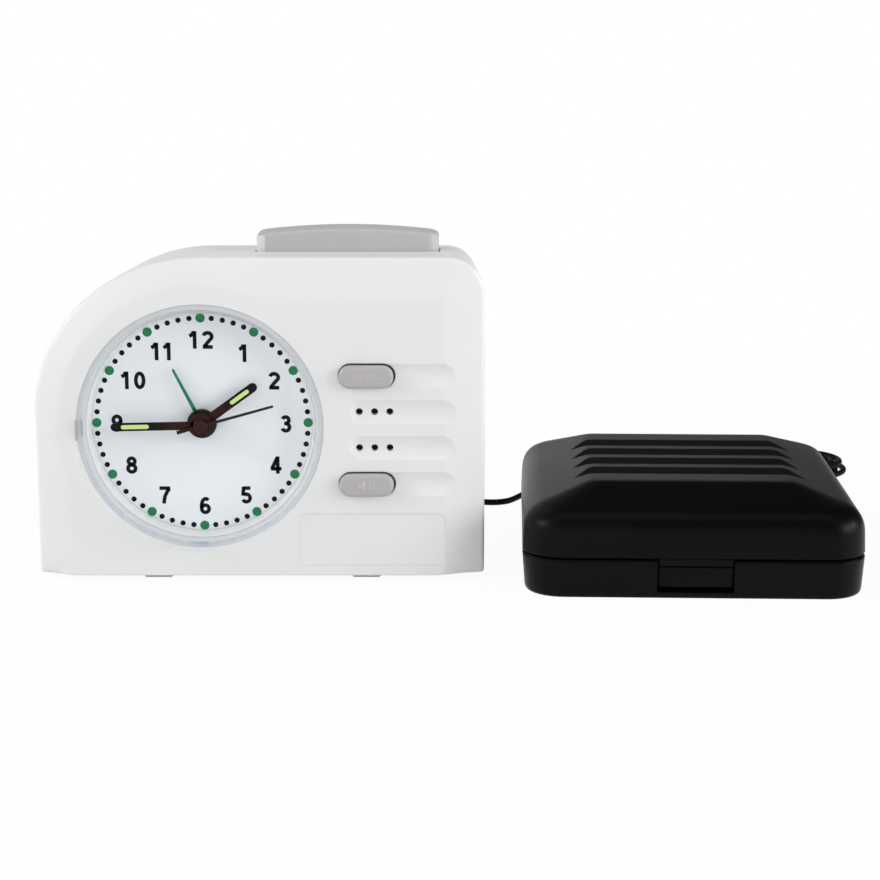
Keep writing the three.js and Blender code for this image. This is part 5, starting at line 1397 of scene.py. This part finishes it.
# %% [markdown]
# Battery door and knobs are seen only from behind, but the object is turned round now and then. The door
# is an eased slab with three ridges for the thumb. The knobs are lofts of wavy circles: a cosine along
# the rim makes the flutes, and the rim is drawn in at both ends.

# %% Door and knobs
FLUTES, FLUTE_STEPS, FLUTE_DEEP, KNOB_RADIUS = 14, 12, 0.26, 6.5
KNOB_EDGE = ((51.3, 0.3), (51.6, 0), (55.2, 0), (55.7, 0.25), (55.9, 0.7))
door = [eased(slab("door", (BAY_X - 14.7, 48.8, 14.9), (BAY_X + 14.7, DEPTH, 66.8)), 0.4)]
for ridge in range(3):
    z = BAY_HIGH - 6 - ridge * 2.4
    door.append(eased(slab("ridge", (BAY_X - 4.9, 50.6, z), (BAY_X + 4.9, 51.6, z + 1)), 0.35))
piece("door_skin", joined("door_skin", door), CLOCK, white_abs, "door", ["battery_door"])


def knob(name, spot, body, node):
    x, z = spot
    rings = []
    for y, shrink in KNOB_EDGE:
        ring = []
        for angle in turns(FLUTES * FLUTE_STEPS):
            flute = FLUTE_DEEP * (1 + math.cos(FLUTES * angle)) if shrink < 0.7 else 0.3
            radius = KNOB_RADIUS - shrink - flute
            ring.append((x + radius * math.cos(angle), y, z + radius * math.sin(angle)))
        rings.append(ring)
    top = rings[-1]
    for y, share in ((55.9, 0.8), (55.5, 0.7)):
        rings.append([(x + (px - x) * share, y, z + (pz - z) * share) for px, _, pz in top])
    piece(name, loft(name, rings), CLOCK, grey_abs, body, [node])


knob("time_grip", TIME_SPOT, "time_setter", "time_knob")
knob("alarm_grip", ALARM_SPOT, "alarm_setter", "alarm_knob")

# %% [markdown]
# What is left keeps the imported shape: the dial's plate, the movement, boards, cells, motor and fasteners
# inside the two housings. Each of them still gets the finish of its real material, because lids and doors
# open.

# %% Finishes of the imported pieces
SCREWS = [f"case_screw_{number}" for number in range(1, 5)]
inside = {
    "dial_paper": ["dial_plate"],
    "natural_acetal": [
        "movement_plate", "movement_cover", "alarm_wheel", "hour_wheel", "motion_wheel", "alarm_stem",
    ],
    "steel": [
        *SCREWS, "second_arbor", "step_motor", "contact_lower", "contact_upper", "lid_hinge_pin",
        "latch_pin", "vibrator_motor", "motor_strap", "strap_screw_1", "strap_screw_2", "plug_tip",
    ],
    "copper_wire": ["motor_coil"],
    "brass": ["cannon_pinion", "eccentric_weight"],
    "switch_black": [
        "upper_button_switch", "lower_button_switch", "snooze_switch", "sounder", "jack_socket",
    ],
    "solder_mask": ["control_board", "snooze_board"],
    "cell_sleeve": ["battery_1", "battery_2"],
}
for finish_name, names in inside.items():
    for node_name in names:
        node_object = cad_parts[node_name]
        node_object.data.materials.clear()
        node_object.data.materials.append(bpy.data.materials[finish_name])
    print(finish_name, "on", len(names), "packed pieces")

# %% [markdown]
# The set is a white sweep. The floor takes the object's shadow, but to the camera, and in what shines, it
# is nearly white close by and quite white further out, as in a catalogue. More light would get there too,
# but would burn out the white case, so the floor's material tells such rays from the others.

# %% Floor
FLOOR_REACH, FLOOR_TONE, FLOOR_SHADE = 6, (0.86, 0.86, 0.86), (0.82, 0.82, 0.82)
NEAR, FAR, NEAR_SHARE = 0.2, 0.45, 0.95


def seen_directly(tree):
    """1 for rays that show the background: from the camera, in gloss and through clear plastic."""
    camera_ray = tree.node("ShaderNodeLightPath", out="Is Camera Ray")
    gloss_ray = tree.node("ShaderNodeLightPath", out="Is Glossy Ray")
    clear_ray = tree.node("ShaderNodeLightPath", out="Is Transmission Ray")
    return (camera_ray + gloss_ray + clear_ray) > 0.5


floor_corners = [(x * FLOOR_REACH, y * FLOOR_REACH, 0) for x, y in ((-1, -1), (1, -1), (1, 1), (-1, 1))]
floor = set_up("floor", mesh_of("floor", floor_corners, [(0, 1, 2, 3)]))
sweep = Finish("white_sweep", FLOOR_TONE, 0.7)
sweep.tint(sweep.noise(2, detail=2) * 0.1, FLOOR_SHADE)
away = sweep.node("ShaderNodeVectorMath", {"operation": "LENGTH"}, {0: sweep.place()}, out="Value")
white_share = seen_directly(sweep) * sweep.ramp(away, NEAR, FAR, NEAR_SHARE, 1.0)
glow = sweep.node("ShaderNodeEmission", None, {"Color": (1, 1, 1, 1), "Strength": 1.0})
sweep.surface(sweep.node("ShaderNodeMixShader", None, {0: white_share, 1: sweep.skin(), 2: glow}))
floor.data.materials.append(sweep.material)
print("floor", 2 * FLOOR_REACH, "m wide")

# %% [markdown]
# The world is white to look at and gives a softer, even light. In gloss it is a studio instead: its wall
# is white low down on the left, and darkens towards the ceiling and the right, because a white dome all
# round would veil the black lid with one grey sheen. The strength of the background is reckoned from the
# kind of ray.

# %% World
WORLD_LEVEL, CEILING_LEVEL, SIDE_LEVEL = 0.5, 0.1, 0.1
WALL_TOP, CEILING_FROM, LEFT_WALL, RIGHT_WALL = 0.2, 0.46, -0.2, 0.45
world = bpy.data.worlds.new("studio")
scene.world = world
world.use_nodes = True
studio = NodeTree(world.node_tree)
background = studio.tree.nodes["Background"]
background.inputs["Color"].default_value = (1, 1, 1, 1)
outward = studio.node("ShaderNodeTexCoord", out="Generated")
upward = studio.ramp(studio.along("Z", outward), WALL_TOP, CEILING_FROM, 1.0, CEILING_LEVEL)
sideward = studio.ramp(studio.along("X", outward), LEFT_WALL, RIGHT_WALL, 1.0, SIDE_LEVEL)
looking = studio.node("ShaderNodeLightPath", out="Is Camera Ray")
shown = looking + (1 - looking) * (upward * sideward)
strength = WORLD_LEVEL + (shown - WORLD_LEVEL) * seen_directly(studio)
studio.feed(background.inputs["Strength"], strength)
print("world nodes", len(studio.tree.nodes))

# %% [markdown]
# Broad soft boxes light the object, most of them on the viewer's side. Two smaller ones, low at the far
# left and right, give the lid's slopes and the case's edges their sheen. Area lamps are used rather than
# more of the world's light, because their edges make the soft gradients that show a rounded form.

# %% Lamps
AIM = Vector((0, 0, 0.04))
LAMPS = {
    "left_box": ((-1.0, -0.85, 0.8), (0.9, 0.9), 2.0),
    "right_box": ((1.15, -0.55, 0.38), (0.6, 0.5), 7.5),
    "top_box": ((0.0, -0.4, 1.2), (1.2, 0.6), 2.0),
    "left_edge": ((-1.12, -0.28, 0.59), (0.42, 0.42), 6.2),
    "right_edge": ((1.34, -0.03, 0.43), (0.42, 0.42), 4.5),
    "front_fill": ((0.0, -1.5, 0.3), (1.2, 0.6), 0.4),
}
for lamp_name, (spot, size, watts) in LAMPS.items():
    lamp = bpy.data.lights.new(lamp_name, "AREA")
    lamp.shape = "RECTANGLE"
    lamp.size, lamp.size_y = size
    lamp.energy = watts
    holder = set_up(lamp_name, lamp)
    holder.location = spot
    holder.rotation_euler = (AIM - Vector(spot)).to_track_quat("-Z", "Y").to_euler()
    print(lamp_name, watts, "W")
scene.view_settings.view_transform = "Standard"
